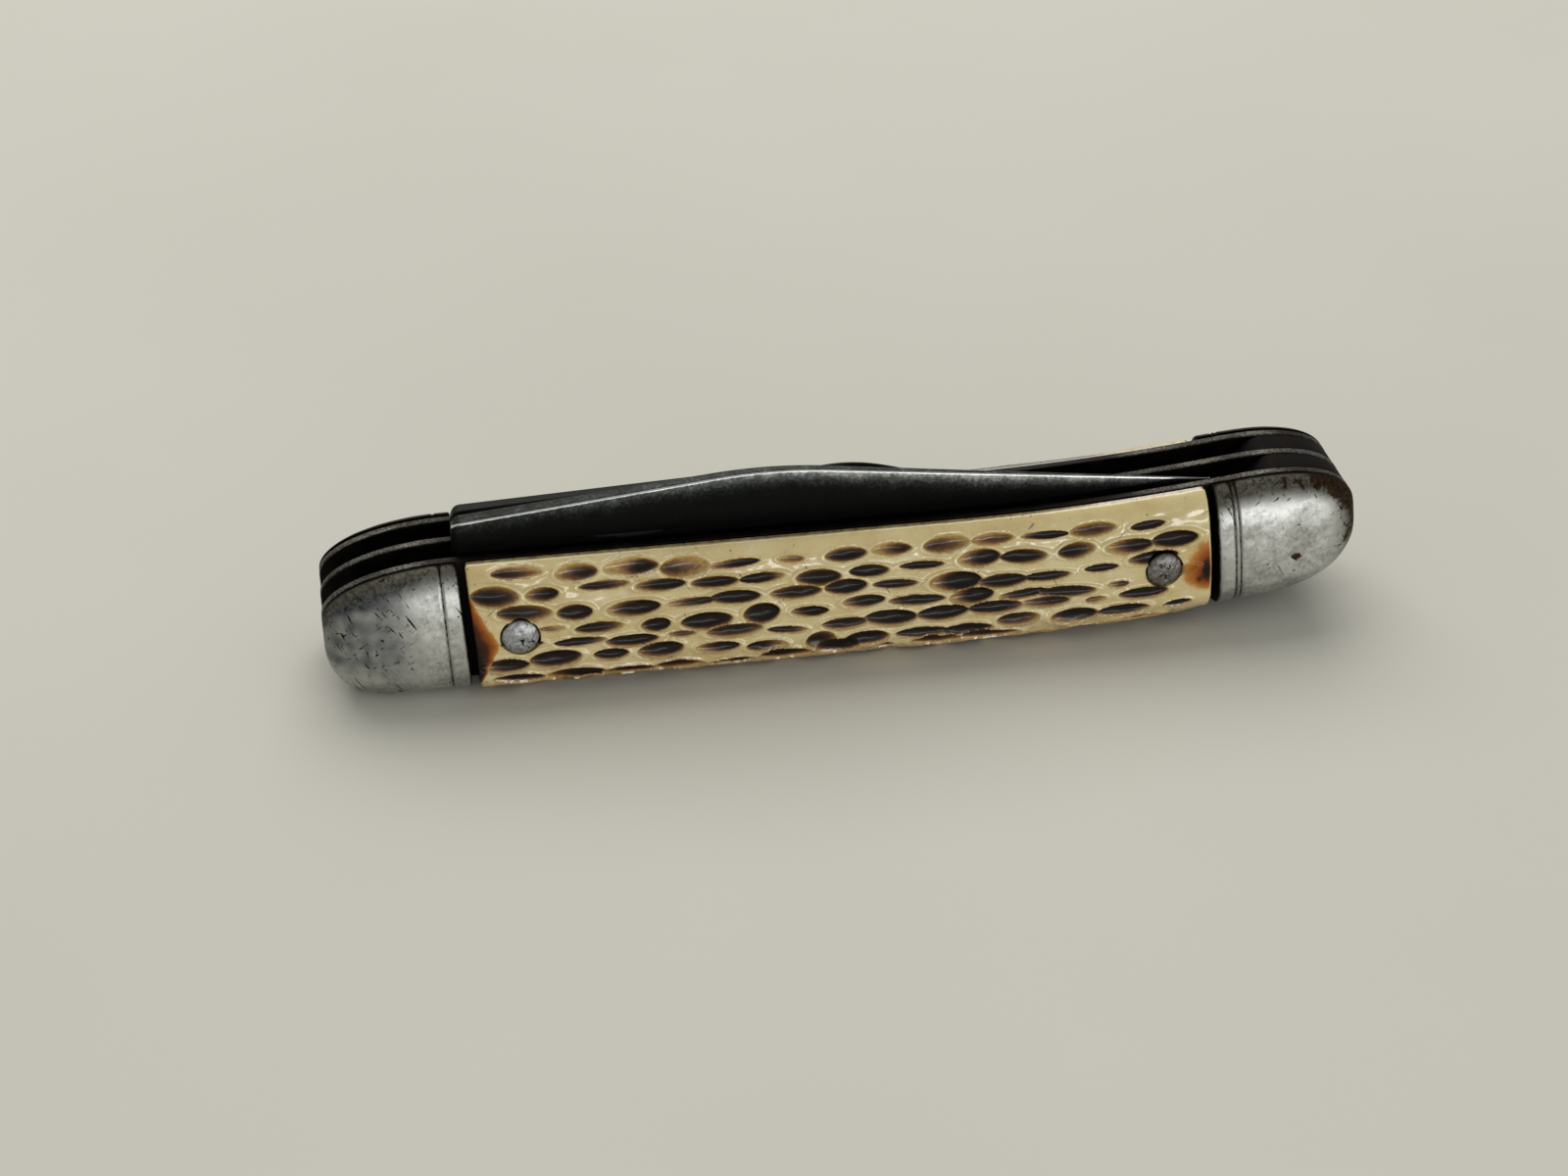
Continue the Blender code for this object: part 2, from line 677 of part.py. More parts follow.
def build_rivet(name, key, side, material):
    """A cover rivet: domed head in its seat, and a shank peened into the liner."""
    crest = HALF_STACK + SEAT_GAP + COVER_RISE
    floor = crest - RIVET_SEAT_DEPTH + RIVET_FIT
    tail = HALF_STACK - LINER + PIN_INSET
    profile = []
    for i in range(7):
        angle = math.pi / 2 * i / 6
        radius = RIVET_HEAD_RADIUS * math.sin(angle)
        profile.append((radius, floor + RIVET_HEAD_EDGE + RIVET_HEAD_DOME * math.cos(angle)))
    profile += [(RIVET_HEAD_RADIUS, floor), (RIVET_SHANK_RADIUS, floor)]
    profile += [(RIVET_SHANK_RADIUS, tail), (0, tail)]
    mesh = bpy.data.meshes.new(name)
    edges = [(i, i + 1) for i in range(len(profile) - 1)]
    mesh.from_pydata([(radius, 0, height) for radius, height in profile], edges, [])
    thing = add_object(name, mesh, material, place(RIVET_STATIONS[key], RIVET_HEIGHT))
    thing.rotation_euler = (-side * math.pi / 2, 0, 0)
    turn = thing.modifiers.new("turn", "SCREW")
    turn.steps = 24
    turn.render_steps = 24
    turn.use_merge_vertices = True
    turn.merge_threshold = 0.001 * MM
    return thing


def build_knife():
    """Every piece of the knife, closed."""
    steel = make_material("liner_steel")
    spring = make_material("spring_steel")
    blade = make_material("blade_steel")
    bolster = make_material("bolster_metal")
    bone = make_material("imitation_bone")
    rivet = make_material("rivet_metal")
    build_liners(steel)
    build_springs(spring)
    build_pins(spring)
    for name in BLADES:
        build_blade(name, blade)
    for face, side in (("front", -1), ("rear", 1)):
        build_bolster(f"{face}_pivot_bolster", True, side, bolster)
        build_bolster(f"{face}_butt_bolster", False, side, bolster)
        build_cover(f"{face}_cover", side, bone)
        build_rivet(f"{face}_pivot_rivet", "pivot", side, rivet)
        build_rivet(f"{face}_butt_rivet", "butt", side, rivet)


clear_scene()
KNIFE = new_collection("whittling_knife")
CUTTERS = new_collection("cutters")
build_knife()
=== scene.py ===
"""Looks of the two-blade whittling knife, a serpentine slip-joint jack, closed and standing on its back.

The sections follow the order in which such a knife is put together. Lengths are in metres. A place on
the handle is a station along it and a height above its back, as on a straight handle, and is then bent.
"""

import functools
import math

import bmesh
import bpy
import numpy as np
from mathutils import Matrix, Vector
from mathutils.geometry import tessellate_polygon


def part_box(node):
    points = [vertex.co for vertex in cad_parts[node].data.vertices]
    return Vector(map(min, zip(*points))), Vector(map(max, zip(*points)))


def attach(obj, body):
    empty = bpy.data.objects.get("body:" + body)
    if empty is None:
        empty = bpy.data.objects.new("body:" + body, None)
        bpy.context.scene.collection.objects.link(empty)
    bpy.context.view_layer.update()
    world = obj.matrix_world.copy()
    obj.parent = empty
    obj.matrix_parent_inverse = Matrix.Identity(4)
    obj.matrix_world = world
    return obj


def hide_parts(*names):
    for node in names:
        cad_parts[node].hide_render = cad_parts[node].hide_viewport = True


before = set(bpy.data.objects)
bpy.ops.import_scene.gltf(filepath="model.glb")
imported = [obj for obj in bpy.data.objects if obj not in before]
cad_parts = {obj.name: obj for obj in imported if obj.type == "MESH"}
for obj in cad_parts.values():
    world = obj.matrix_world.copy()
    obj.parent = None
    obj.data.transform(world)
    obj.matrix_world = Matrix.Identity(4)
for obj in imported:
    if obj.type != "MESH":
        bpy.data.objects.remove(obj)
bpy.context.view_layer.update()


# ---------------------------------------------------------------- liners
# Three flat liners of one outline carry the knife. They are blanked from mild steel sheet and their
# edges are finished on a belt together with the springs, then decades in a pocket rust them brown.
MM = 0.001
LENGTH = 86.7 * MM
HEIGHT = 11.75 * MM
PIVOT_END, BUTT_END = -LENGTH / 2, LENGTH / 2
SWEEP_START = PIVOT_END + 51.0 * MM
SWEEP_RADIUS = 200.0 * MM
# each rounded corner of the outline: its reach along the handle, its share of the height, its power
PIVOT_SLOT_CORNER = (10.9 * MM, 0.375, 2.0)
PIVOT_BACK_CORNER = (4.3 * MM, 0.415, 2.2)
BUTT_SLOT_CORNER = (10.5 * MM, 0.41, 2.3)
BUTT_BACK_CORNER = (8.0 * MM, 0.51, 2.3)
LINER = 0.65 * MM
LINER_ROUND = 0.1 * MM
SLOT = 2.2 * MM
HALF_STACK = (3 * LINER + 2 * SLOT) / 2
SLOT_CENTRE = (LINER + SLOT) / 2
PIVOT_STATION = PIVOT_END + 6.25 * MM
PIVOT, SPRING_PIN, BUTT_PIN = [
    sum(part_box(name), Vector()) / 2 for name in ("pivot_pin", "spring_pin", "butt_pin")
]
PIVOT_HOLE, SPRING_HOLE, BUTT_HOLE = 1.28 * MM, 0.83 * MM, 1.03 * MM
SHIFT = PIVOT.x - PIVOT_STATION


def bent(station, height, across):
    """Straight handle to bent handle: past the sweep's start a point turns about a centre above the
    handle, x = start + arm sin(angle) and z = centre - arm cos(angle), where angle = length / radius."""
    station, height, across = np.broadcast_arrays(station, height, across)
    past = np.maximum(station - SWEEP_START, 0)
    angle = past / SWEEP_RADIUS
    arm = SWEEP_RADIUS - (height - HEIGHT / 2)
    x = np.minimum(station, SWEEP_START) + arm * np.sin(angle) + SHIFT
    z = HEIGHT / 2 + SWEEP_RADIUS - arm * np.cos(angle)
    return np.stack([x, across, np.where(past > 0, z, height)], -1)


def straightened(spots):
    """Bent handle back to straight: past the sweep's start the station is start + radius x angle about
    the sweep's centre, and the height is what is left of the arm."""
    ahead, down = spots[:, 0] - SHIFT - SWEEP_START, HEIGHT / 2 + SWEEP_RADIUS - spots[:, 2]
    station = SWEEP_START + np.where(ahead > 0, SWEEP_RADIUS * np.arctan2(ahead, down), ahead)
    swept = HEIGHT / 2 + SWEEP_RADIUS - np.hypot(ahead, down)
    return station, np.where(ahead > 0, swept, spots[:, 2])


def corner_drop(from_end, corner):
    """A rounded corner: share x height x (1 - (1 - past^power)^(1/power)), with past from 0 at the reach
    to 1 at the end."""
    reach, share, power = corner
    past = np.clip(1 - from_end / reach, 0, 1)
    return share * HEIGHT * (1 - (1 - past**power) ** (1 / power))


def back_edge(station):
    """Height of the handle's back edge: its two corner drops added up."""
    at_pivot = corner_drop(station - PIVOT_END, PIVOT_BACK_CORNER)
    return at_pivot + corner_drop(BUTT_END - station, BUTT_BACK_CORNER)


def slot_edge(station):
    """Height of the handle's slot edge: the full height less its two corner drops."""
    at_pivot = corner_drop(station - PIVOT_END, PIVOT_SLOT_CORNER)
    return HEIGHT - at_pivot - corner_drop(BUTT_END - station, BUTT_SLOT_CORNER)


def eased(start, end, count):
    """Stations from start to end, close together at both: start + span (1 - cos(pi t)) / 2."""
    return start + (end - start) * (0.5 - 0.5 * np.cos(np.linspace(0, np.pi, count)))


def ramp(value, low, high):
    """A straight ramp from 0 at low to 1 at high, held beyond them."""
    return np.clip((value - low) / (high - low), 0, 1)


def bell(value, width, power=2):
    """A soft hump: exp(-|value / width|^power)."""
    return np.exp(-np.abs(value / width) ** power)


def lumps(u, v, size, seed, count=14):
    """Gentle unevenness about 0: a sum of sine waves in seeded directions, each about one size long."""
    rng = np.random.default_rng(seed)
    turns, phases = rng.uniform(0, np.pi, count), rng.uniform(0, 2 * np.pi, count)
    total = 0
    for turn, phase, stretch in zip(turns, phases, rng.uniform(0.6, 1.6, count)):
        wave = 2 * np.pi / (size * stretch)
        total = total + np.sin(wave * (u * np.cos(turn) + v * np.sin(turn)) + phase)
    return total / math.sqrt(count * 2)


def liner_outline():
    """Back edge from pivot to butt, then the slot edge home again, as swept x and z."""
    along = eased(PIVOT_END, BUTT_END, 260)
    back, slots = bent(along, back_edge(along), 0), bent(along, slot_edge(along), 0)
    return np.concatenate([back, slots[::-1]])[:, [0, 2]]


def ring(x, z, radius, count=48):
    """A circle: centre + radius (cos a, sin a)."""
    turn = np.linspace(0, 2 * np.pi, count, endpoint=False)
    return np.stack([x + radius * np.cos(turn), z + radius * np.sin(turn)], -1)


def grid_quads(rows, columns, first=0):
    """Quads between neighbours on a grid of rows x columns points that is joined round."""
    i, j = np.meshgrid(np.arange(rows - 1), np.arange(columns), indexing="ij")
    here, beside = i * columns + j, i * columns + (j + 1) % columns
    return first + np.stack([here, beside, beside + columns, here + columns], -1).reshape(-1, 4)


def plate(outline, holes, thickness, across, rounding):
    """A flat plate whose rim is a quarter round at each face: inset = r (1 - sin q) where the depth below
    the face is r (1 - cos q), q from 0 to 90 degrees. Its faces are filled between rim and holes."""
    ahead = np.roll(outline, -1, 0) - np.roll(outline, 1, 0)
    inward = np.stack([-ahead[:, 1], ahead[:, 0]], -1) / np.linalg.norm(ahead, axis=1, keepdims=True)
    q = np.linspace(0, np.pi / 2, 6)
    inset = rounding * (1 - np.sin(q))
    depth = rounding * (1 - np.cos(q)) - thickness / 2
    inset, depth = np.concatenate([inset, inset[::-1]]), np.concatenate([depth, -depth[::-1]])
    flat = outline[None] + inward[None] * inset[:, None, None]
    rows, columns = flat.shape[:2]
    level = np.broadcast_to(depth[:, None] + across, (rows, columns))
    points = [np.stack([flat[..., 0], level, flat[..., 1]], -1).reshape(-1, 3)]
    faces = grid_quads(rows, columns).tolist()
    front, rear = [np.arange(columns)], [np.arange(columns) + (rows - 1) * columns]
    count = rows * columns
    for hole in holes:
        faces += grid_quads(2, len(hole), first=count).tolist()
        for face, half in ((front, -thickness / 2), (rear, thickness / 2)):
            face.append(np.arange(len(hole)) + count)
            points.append(np.stack([hole[:, 0], np.full(len(hole), across + half), hole[:, 1]], -1))
            count += len(hole)
    points = np.concatenate(points)
    for face in (front, rear):
        loops = [[Vector((points[i][0], points[i][2], 0)) for i in part] for part in face]
        order = np.concatenate(face)
        faces += [[int(order[i]) for i in triangle] for triangle in tessellate_polygon(loops)]
    return points, faces


def finished_mesh(name, points, faces, sharp=40, merged=True):
    """A closed mesh: doubles merged, faces turned outwards, smooth but for edges over so many degrees."""
    mesh = bpy.data.meshes.new(name)
    mesh.from_pydata(np.asarray(points).tolist(), [], [list(face) for face in faces])
    work = bmesh.new()
    work.from_mesh(mesh)
    if merged:
        bmesh.ops.remove_doubles(work, verts=work.verts, dist=0.0004 * MM)
        bmesh.ops.dissolve_degenerate(work, edges=work.edges, dist=0.0002 * MM)
    bmesh.ops.recalc_face_normals(work, faces=work.faces)
    work.to_mesh(mesh)
    work.free()
    mesh.shade_smooth()
    mesh.set_sharp_from_angle(angle=math.radians(sharp))
    return mesh


def add_piece(mesh, node, material, body="handle"):
    """A finished piece: its mesh stands for a CAD node, takes a material slot and rides on a body."""
    piece = bpy.data.objects.new(mesh.name, mesh)
    bpy.context.scene.collection.objects.link(piece)
    mesh.materials.clear()
    mesh.materials.append(material)
    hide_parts(node)
    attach(piece, body)


def places(mesh):
    """Every vertex of a mesh as an array of x, y, z."""
    flat = np.empty(len(mesh.vertices) * 3, np.float32)
    mesh.vertices.foreach_get("co", flat)
    return flat.reshape(-1, 3).astype(float)


def set_values(mesh, **named):
    """Numbers at every vertex, under the names by which a material reads them."""
    for name, values in named.items():
        kept = np.asarray(values, np.float32)
        mesh.attributes.new(name, "FLOAT", "POINT").data.foreach_set("value", kept)


def hex_colour(text):
    """An sRGB hex colour as linear red, green, blue and alpha."""
    parts = [int(text[i:i + 2], 16) / 255 for i in (0, 2, 4)]
    linear = [c / 12.92 if c <= 0.04045 else ((c + 0.055) / 1.055) ** 2.4 for c in parts]
    return (*linear, 1.0)


def add_node(tree, kind, inputs=(), stops=(), **settings):
    """Adds a node and gives its output. Inputs, by name or in order, are values or other nodes' outputs,
    and stops are a ramp's (place, colour). A colour mix takes its two colours as inputs 6 and 7."""
    node = tree.nodes.new("ShaderNode" + kind)
    for name, value in settings.items():
        setattr(node, name, value)
    for key, value in dict(inputs if isinstance(inputs, dict) else enumerate(inputs)).items():
        if isinstance(value, bpy.types.NodeSocket):
            tree.links.new(value, node.inputs[key])
        else:
            node.inputs[key].default_value = value
    if stops:
        while len(node.color_ramp.elements) < len(stops):
            node.color_ramp.elements.new(0.5)
        for element, (at, colour) in zip(node.color_ramp.elements, stops):
            element.position, element.color = at, hex_colour(colour)
    named = {"TexCoord": "Object", "Attribute": "Fac"}.get(kind)
    return node.outputs[named] if named else next((o for o in node.outputs if o.enabled), None)


def new_material(name):
    """An empty node material, the function that adds its nodes, and the place that its patterns read."""
    material = bpy.data.materials.new(name)
    material.use_nodes = True
    material.node_tree.nodes.clear()
    node = functools.partial(add_node, material.node_tree)
    return material, node, node("TexCoord")


def sheet_steel_rusted():
    """Blanked mild steel sheet, unplated: dark grey with brown rust bloom, and its belt-finished edge
    worn lighter."""
    material, node, place = new_material("sheet_steel_rusted")
    worn = node("Attribute", attribute_name="worn")
    # a scale is one over a size: bloom 2.4 mm wide, and the belt's grit marks, which are finer in
    # steel, drawn 0.19 mm wide so that they show
    bloom = node("TexNoise", {"Vector": place, "Scale": 420, "Detail": 6, "Roughness": 0.65})
    grain = node("TexNoise", {"Vector": place, "Scale": 5200, "Detail": 3, "Roughness": 0.6})
    skin = node("ValToRGB", (bloom,), [
        (0.36, "0D0C0B"), (0.52, "171412"), (0.62, "231913"), (0.74, "35241A")])
    bare = node("ValToRGB", (grain,), [(0.3, "35332F"), (0.7, "7B786F")])
    chipped = node("Math", (worn, grain), operation="MULTIPLY")
    amount = node("MapRange", (chipped, 0.12, 0.5))
    node("OutputMaterial", {"Surface": node("BsdfPrincipled", {
        "Base Color": node("Mix", {0: amount, 6: skin, 7: bare}, data_type="RGBA"),
        "Roughness": node("MapRange", (bloom, 0.3, 0.7, 0.36, 0.7)),
        "Normal": node("Bump", {"Height": grain, "Strength": 0.35, "Distance": 0.03 * MM}),
        "Metallic": 0.85,
    })})
    return material


LINER_STEEL = sheet_steel_rusted()
for name, across in (
    ("front_liner", -(HALF_STACK - LINER / 2)),
    ("centre_liner", 0.0),
    ("rear_liner", HALF_STACK - LINER / 2),
):
    holes = [
        ring(pin.x, pin.z, hole)
        for pin, hole in ((PIVOT, PIVOT_HOLE), (SPRING_PIN, SPRING_HOLE), (BUTT_PIN, BUTT_HOLE))
    ]
    mesh = finished_mesh(name + "_sheet", *plate(liner_outline(), holes, LINER, across, LINER_ROUND))
    # the rim is rubbed light in patches near both ends, and hardly at all between them
    spots = places(mesh)
    station, _ = straightened(spots)
    on_rim = np.abs(spots[:, 1] - across) < LINER / 2 - 0.002 * MM
    between = ramp(station - PIVOT_END, 8 * MM, 12 * MM) * ramp(BUTT_END - station, 17 * MM, 21 * MM)
    patchy = np.clip(0.62 + 0.3 * lumps(station, spots[:, 1], 5 * MM, 91), 0.2, 1)
    set_values(mesh, worn=on_rim * patchy * (1 - 0.85 * between))
    add_piece(mesh, name, LINER_STEEL)

# ---------------------------------------------------------------- back springs
# Two back springs, one in each slot, held by the spring pin and the butt pin. They are punched from
# spring steel and ground flush with the liners; the back and the butt wear bright and go brown again.
SPRING = SLOT - 0.1 * MM
SPRING_ROUND = 0.12 * MM
SPRING_INSET = 0.05 * MM
HEAD_TOP = 2.95 * MM
MAIN_SHOULDER, PEN_SHOULDER = 4.4 * MM, 4.5 * MM


def spring_outline(shoulder):
    """A back spring: back edge out, slot edge home as far as the wall, then eased between the knots of
    its inner edge as z0 + (z1 - z0) t t (3 - 2 t), and the flat head under the tang."""
    start, wall = PIVOT_STATION - shoulder + SPRING_INSET, BUTT_END - 6.4 * MM
    back = eased(start, BUTT_END, 220)
    solid = eased(wall, BUTT_END, 60)[::-1]
    knots = np.array([
        (wall, slot_edge(wall) - SPRING_INSET),
        (wall - 8.0 * MM, 5.4 * MM),
        (BUTT_END - 40.0 * MM, 3.35 * MM),
        (PIVOT_STATION + 15.0 * MM, 2.3 * MM),
        (PIVOT_STATION + 9.2 * MM, HEAD_TOP),
    ])
    t = np.linspace(0, 1, 13)[1:, None]
    inner = [a + (b - a) * np.hstack([t, t * t * (3 - 2 * t)]) for a, b in zip(knots, knots[1:])]
    run = np.concatenate([
        np.stack([back, back_edge(back) + SPRING_INSET], -1),
        np.stack([solid, slot_edge(solid) - SPRING_INSET], -1)[:-1],
        *inner,
        [(start, HEAD_TOP)],
    ])
    return bent(run[:, 0], run[:, 1], 0)[:, [0, 2]]


def spring_steel_browned():
    """Hardened spring steel, once blued: smooth brown-black rust skin, which hardly shines."""
    material, node, place = new_material("spring_steel_browned")
    # bloom 1.9 mm wide, rust grain drawn 0.17 mm wide so that it shows
    bloom = node("TexNoise", {"Vector": place, "Scale": 520, "Detail": 7, "Roughness": 0.7})
    grain = node("TexNoise", {"Vector": place, "Scale": 6000, "Detail": 2})
    node("OutputMaterial", {"Surface": node("BsdfPrincipled", {
        "Base Color": node("ValToRGB", (bloom,), [
            (0.34, "050403"), (0.48, "0A0806"), (0.6, "150F0B"), (0.74, "2A1E16")]),
        "Roughness": node("MapRange", (bloom, 0.3, 0.7, 0.5, 0.75)),
        "Normal": node("Bump", {"Height": grain, "Strength": 0.3, "Distance": 0.03 * MM}),
        "Metallic": 0.2,
        "Specular IOR Level": 0.06,
    })})
    return material


SPRING_STEEL = spring_steel_browned()
for name, shoulder, side in (("main_spring", MAIN_SHOULDER, -1), ("pen_spring", PEN_SHOULDER, 1)):
    holes = [ring(pin.x, pin.z, hole) for pin, hole in ((SPRING_PIN, SPRING_HOLE), (BUTT_PIN, BUTT_HOLE))]
    leaf = plate(spring_outline(shoulder), holes, SPRING, side * SLOT_CENTRE, SPRING_ROUND)
    add_piece(finished_mesh(name + "_leaf", *leaf), name, SPRING_STEEL)

# ---------------------------------------------------------------- pins
# Three drawn steel pins through the whole stack, cut and peened; only short lengths of them show
# in the slots, so they stay as they were made and take the springs' browned steel.
for name in ("pivot_pin", "spring_pin", "butt_pin"):
    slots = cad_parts[name].data.materials
    slots.clear()
    slots.append(SPRING_STEEL)

# ---------------------------------------------------------------- blades
# A long clip blade and a pen blade turn on the pivot pin, each in its own slot. They are forged from
# carbon steel: a thick flat tang, a ground wedge with a nail nick, and years of near-black patina.
TANG = SLOT - 0.1 * MM
TANG_ROUND = 0.08 * MM
TANG_HALF = 3.2 * MM
TANG_REAR, TANG_FRONT = -3.6 * MM, 10.0 * MM
TANG_BORE = 1.3 * MM
SPINE_ROUND = 0.24 * MM
TIP_THICKNESS = 0.35 * MM
EDGE_THICKNESS = 0.1 * MM
FLAT_SHARE, FLAT_TAPER = 0.3, 0.06  # the face's upper part, and how much it thins the blade
HONE_HALF, HONE_SLOPE = 0.02 * MM, 0.17  # half the honed edge's thickness, and how it widens
SHOULDER_ROUND = 0.9 * MM
BELLY_POWER = 1.75
NICK_LEAN = math.radians(28)
NICK_DIP = 0.17 * MM


def rounded(corners, steps=10):
    """An outline through (x, z, radius) corners: each arc's centre lies on the corner's bisector at
    radius / sin(half angle), and the arc sweeps between the two tangent points."""
    run = []
    for index, (x, z, radius) in enumerate(corners):
        corner = np.array([x, z])
        before = np.array(corners[index - 1][:2]) - corner
        after = np.array(corners[(index + 1) % len(corners)][:2]) - corner
        before, after = before / np.linalg.norm(before), after / np.linalg.norm(after)
        half = math.acos(before @ after) / 2
        if radius <= 0:
            run.append(corner[None])
            continue
        bisector = (before + after) / np.linalg.norm(before + after)
        centre = corner + bisector * radius / math.sin(half)
        first = corner + before * radius / math.tan(half) - centre
        last = corner + after * radius / math.tan(half) - centre
        sweep = math.atan2(first[0] * last[1] - first[1] * last[0], first @ last)
        turn = sweep * np.linspace(0, 1, steps)
        across = first[0] * np.cos(turn) - first[1] * np.sin(turn)
        up = first[0] * np.sin(turn) + first[1] * np.cos(turn)
        run.append(centre + np.stack([across, up], -1))
    return np.concatenate(run)


def tang_outline():
    """The tang about its pivot: flats for the spring, a rounded end, and the kick before the edge."""
    return rounded([
        (TANG_REAR, -TANG_HALF, 2.0 * MM),
        (7.3 * MM, -TANG_HALF, 0.3 * MM),
        (7.7 * MM, -2.4 * MM, 0.0),
        (8.6 * MM, -1.1 * MM, 0.3 * MM),
        (TANG_FRONT, 1.2 * MM, 0.0),
        (TANG_FRONT, TANG_HALF, 0.3 * MM),
        (TANG_REAR, TANG_HALF, 2.0 * MM),
    ])


def spine_height(x, tip, shoulder, spine, peak, peak_round, clip_bulge):
    """Spine of a blade: two straight lines joined by an arc at the peak, z = rise x - x x / 2r, and on
    the clip a parabola 4 bulge s (1 - s)."""
    before_point, peak_z = peak
    peak_x = tip[0] - before_point
    rise = (peak_z - spine) / (peak_x - shoulder)
    fall = (peak_z - tip[1]) / (tip[0] - peak_x)
    reach = peak_round * (rise + fall) / 2
    along = np.clip(x - (peak_x - reach), 0, 2 * reach)
    line = peak_z - rise * reach + rise * along - along**2 / (2 * peak_round)
    line += np.minimum(x - (peak_x - reach), 0) * rise - np.maximum(x - (peak_x + reach), 0) * fall
    share = np.maximum(0, (x - peak_x) / (tip[0] - peak_x))
    return line + 4 * clip_bulge * share * (1 - share)


def cutting_edge(x, tip, edge, belly):
    """Edge of a blade: straight, then a belly, edge + rise (1 - (1 - s^power)^(1/power)) to the point."""
    share = np.clip((x - (tip[0] - belly)) / belly, 0, 1)
    return edge + (tip[1] - edge) * (1 - (1 - share**BELLY_POWER) ** (1 / BELLY_POWER))


def half_thickness(thickness, share):
    """Half the spine's thickness: straight from the tang's end to the tip."""
    return (thickness * (1 - share) + TIP_THICKNESS * share) / 2


def ground_blade(tip, shoulder, edge, belly, thickness, **spine_line):
    """The ground wedge: at each x a closed section from the middle of the spine round its corner, down a
    face that is the smooth minimum of a flat and a wedge, -s ln(exp(-flat / s) + exp(-wedge / s)), to a
    honed edge, and up the other side. The spine is rounded down to its shoulder,
    round (1 - sqrt(1 - t t)), and 40% thinner there."""
    x = eased(shoulder, tip[0], 300)[:-1, None]
    start = np.clip(1 - (x - shoulder) / SHOULDER_ROUND, 0, 1)
    top = spine_height(x, tip, shoulder, **spine_line) - SHOULDER_ROUND * (1 - np.sqrt(1 - start**2))
    deep = top - cutting_edge(x, tip, edge, belly)
    thinned = 0.4 * np.clip(1 - (x - shoulder) / (0.6 * MM), 0, 1) ** 2
    half = half_thickness(thickness, (x - shoulder) / (tip[0] - shoulder)) * (1 - thinned)
    bend = np.minimum(np.minimum(SPINE_ROUND, deep / 4), half * 0.8)
    q = np.linspace(0, np.pi / 2, 8)[None]
    down = np.linspace(0, 1, 30)[None, 1:] ** 1.15
    drop = np.hstack([bend * 0, bend * (1 - np.cos(q)), bend + (deep - bend) * down])
    flat = half * (1 - FLAT_TAPER * drop / (FLAT_SHARE * deep))
    bevel = half * (1 - FLAT_TAPER)
    wedge = bevel + (EDGE_THICKNESS - bevel) * (drop / deep - FLAT_SHARE) / (1 - FLAT_SHARE)
    soft = 0.02 * MM
    face = -soft * np.logaddexp(-flat / soft, -wedge / soft)
    face = np.minimum(face, HONE_HALF + (deep - drop) * HONE_SLOPE)
    corner = np.hstack([bend * 0, half - bend + bend * np.sin(q), face[:, 9:]])
    corner = corner * (1 - 0.1 * MM * np.exp(-drop / (0.5 * MM)) / half)
    across = np.hstack([corner, -corner[:, :0:-1]])
    height = top - np.hstack([drop, drop[:, :0:-1]])
    rows, columns = across.shape
    points = np.stack([np.broadcast_to(x, across.shape), across, height], -1).reshape(-1, 3)
    last = (rows - 1) * columns
    faces = grid_quads(rows, columns).tolist() + [list(range(columns))]
    faces += [[last + i, last + (i + 1) % columns, len(points)] for i in range(columns)]
    return np.vstack([points, [(tip[0], 0, tip[1])]]), faces


def carve(mesh, other, operation):
    """One mesh joined with another or cut by it, as a new mesh."""
    pair = [bpy.data.objects.new("work", m) for m in (mesh, other)]
    for thing in pair:
        bpy.context.scene.collection.objects.link(thing)
    boolean = pair[0].modifiers.new("carve", "BOOLEAN")
    boolean.operation, boolean.solver, boolean.object = operation, "EXACT", pair[1]
    bpy.context.view_layer.update()
    carved = pair[0].evaluated_get(bpy.context.evaluated_depsgraph_get())
    result = bpy.data.meshes.new_from_object(carved)
    for thing in pair:
        bpy.data.objects.remove(thing, do_unlink=True)
    return result


def closed_tube(rows, columns):
    """Faces of a grid of points joined round, with its first and last rows filled."""
    ends = [list(range(columns)), list(range((rows - 1) * columns, rows * columns))]
    return grid_quads(rows, columns).tolist() + ends


def nick_disc(x, z, length, face, side, count=640):
    """A thin wide disc for the nail nick, leaning out of the face: its rim dips in over the nick's
    length, so radius = (length^2 / 4 + dip^2) / (2 dip)."""
    dip = NICK_DIP / math.cos(NICK_LEAN)
    radius = (length**2 / 4 + dip**2) / (2 * dip)
    axis = np.array([0, -side * math.sin(NICK_LEAN), math.cos(NICK_LEAN)])
    outward = np.array([0, side * math.cos(NICK_LEAN), math.sin(NICK_LEAN)])
    centre = np.array([x, side * face, z]) + outward * (radius - dip)
    turn = np.linspace(0, 2 * np.pi, count, endpoint=False)[:, None]
    rim = centre + radius * (np.cos(turn) * outward + np.sin(turn) * np.array([1.0, 0, 0]))
    return np.concatenate([rim, rim - axis * MM]), closed_tube(2, count)


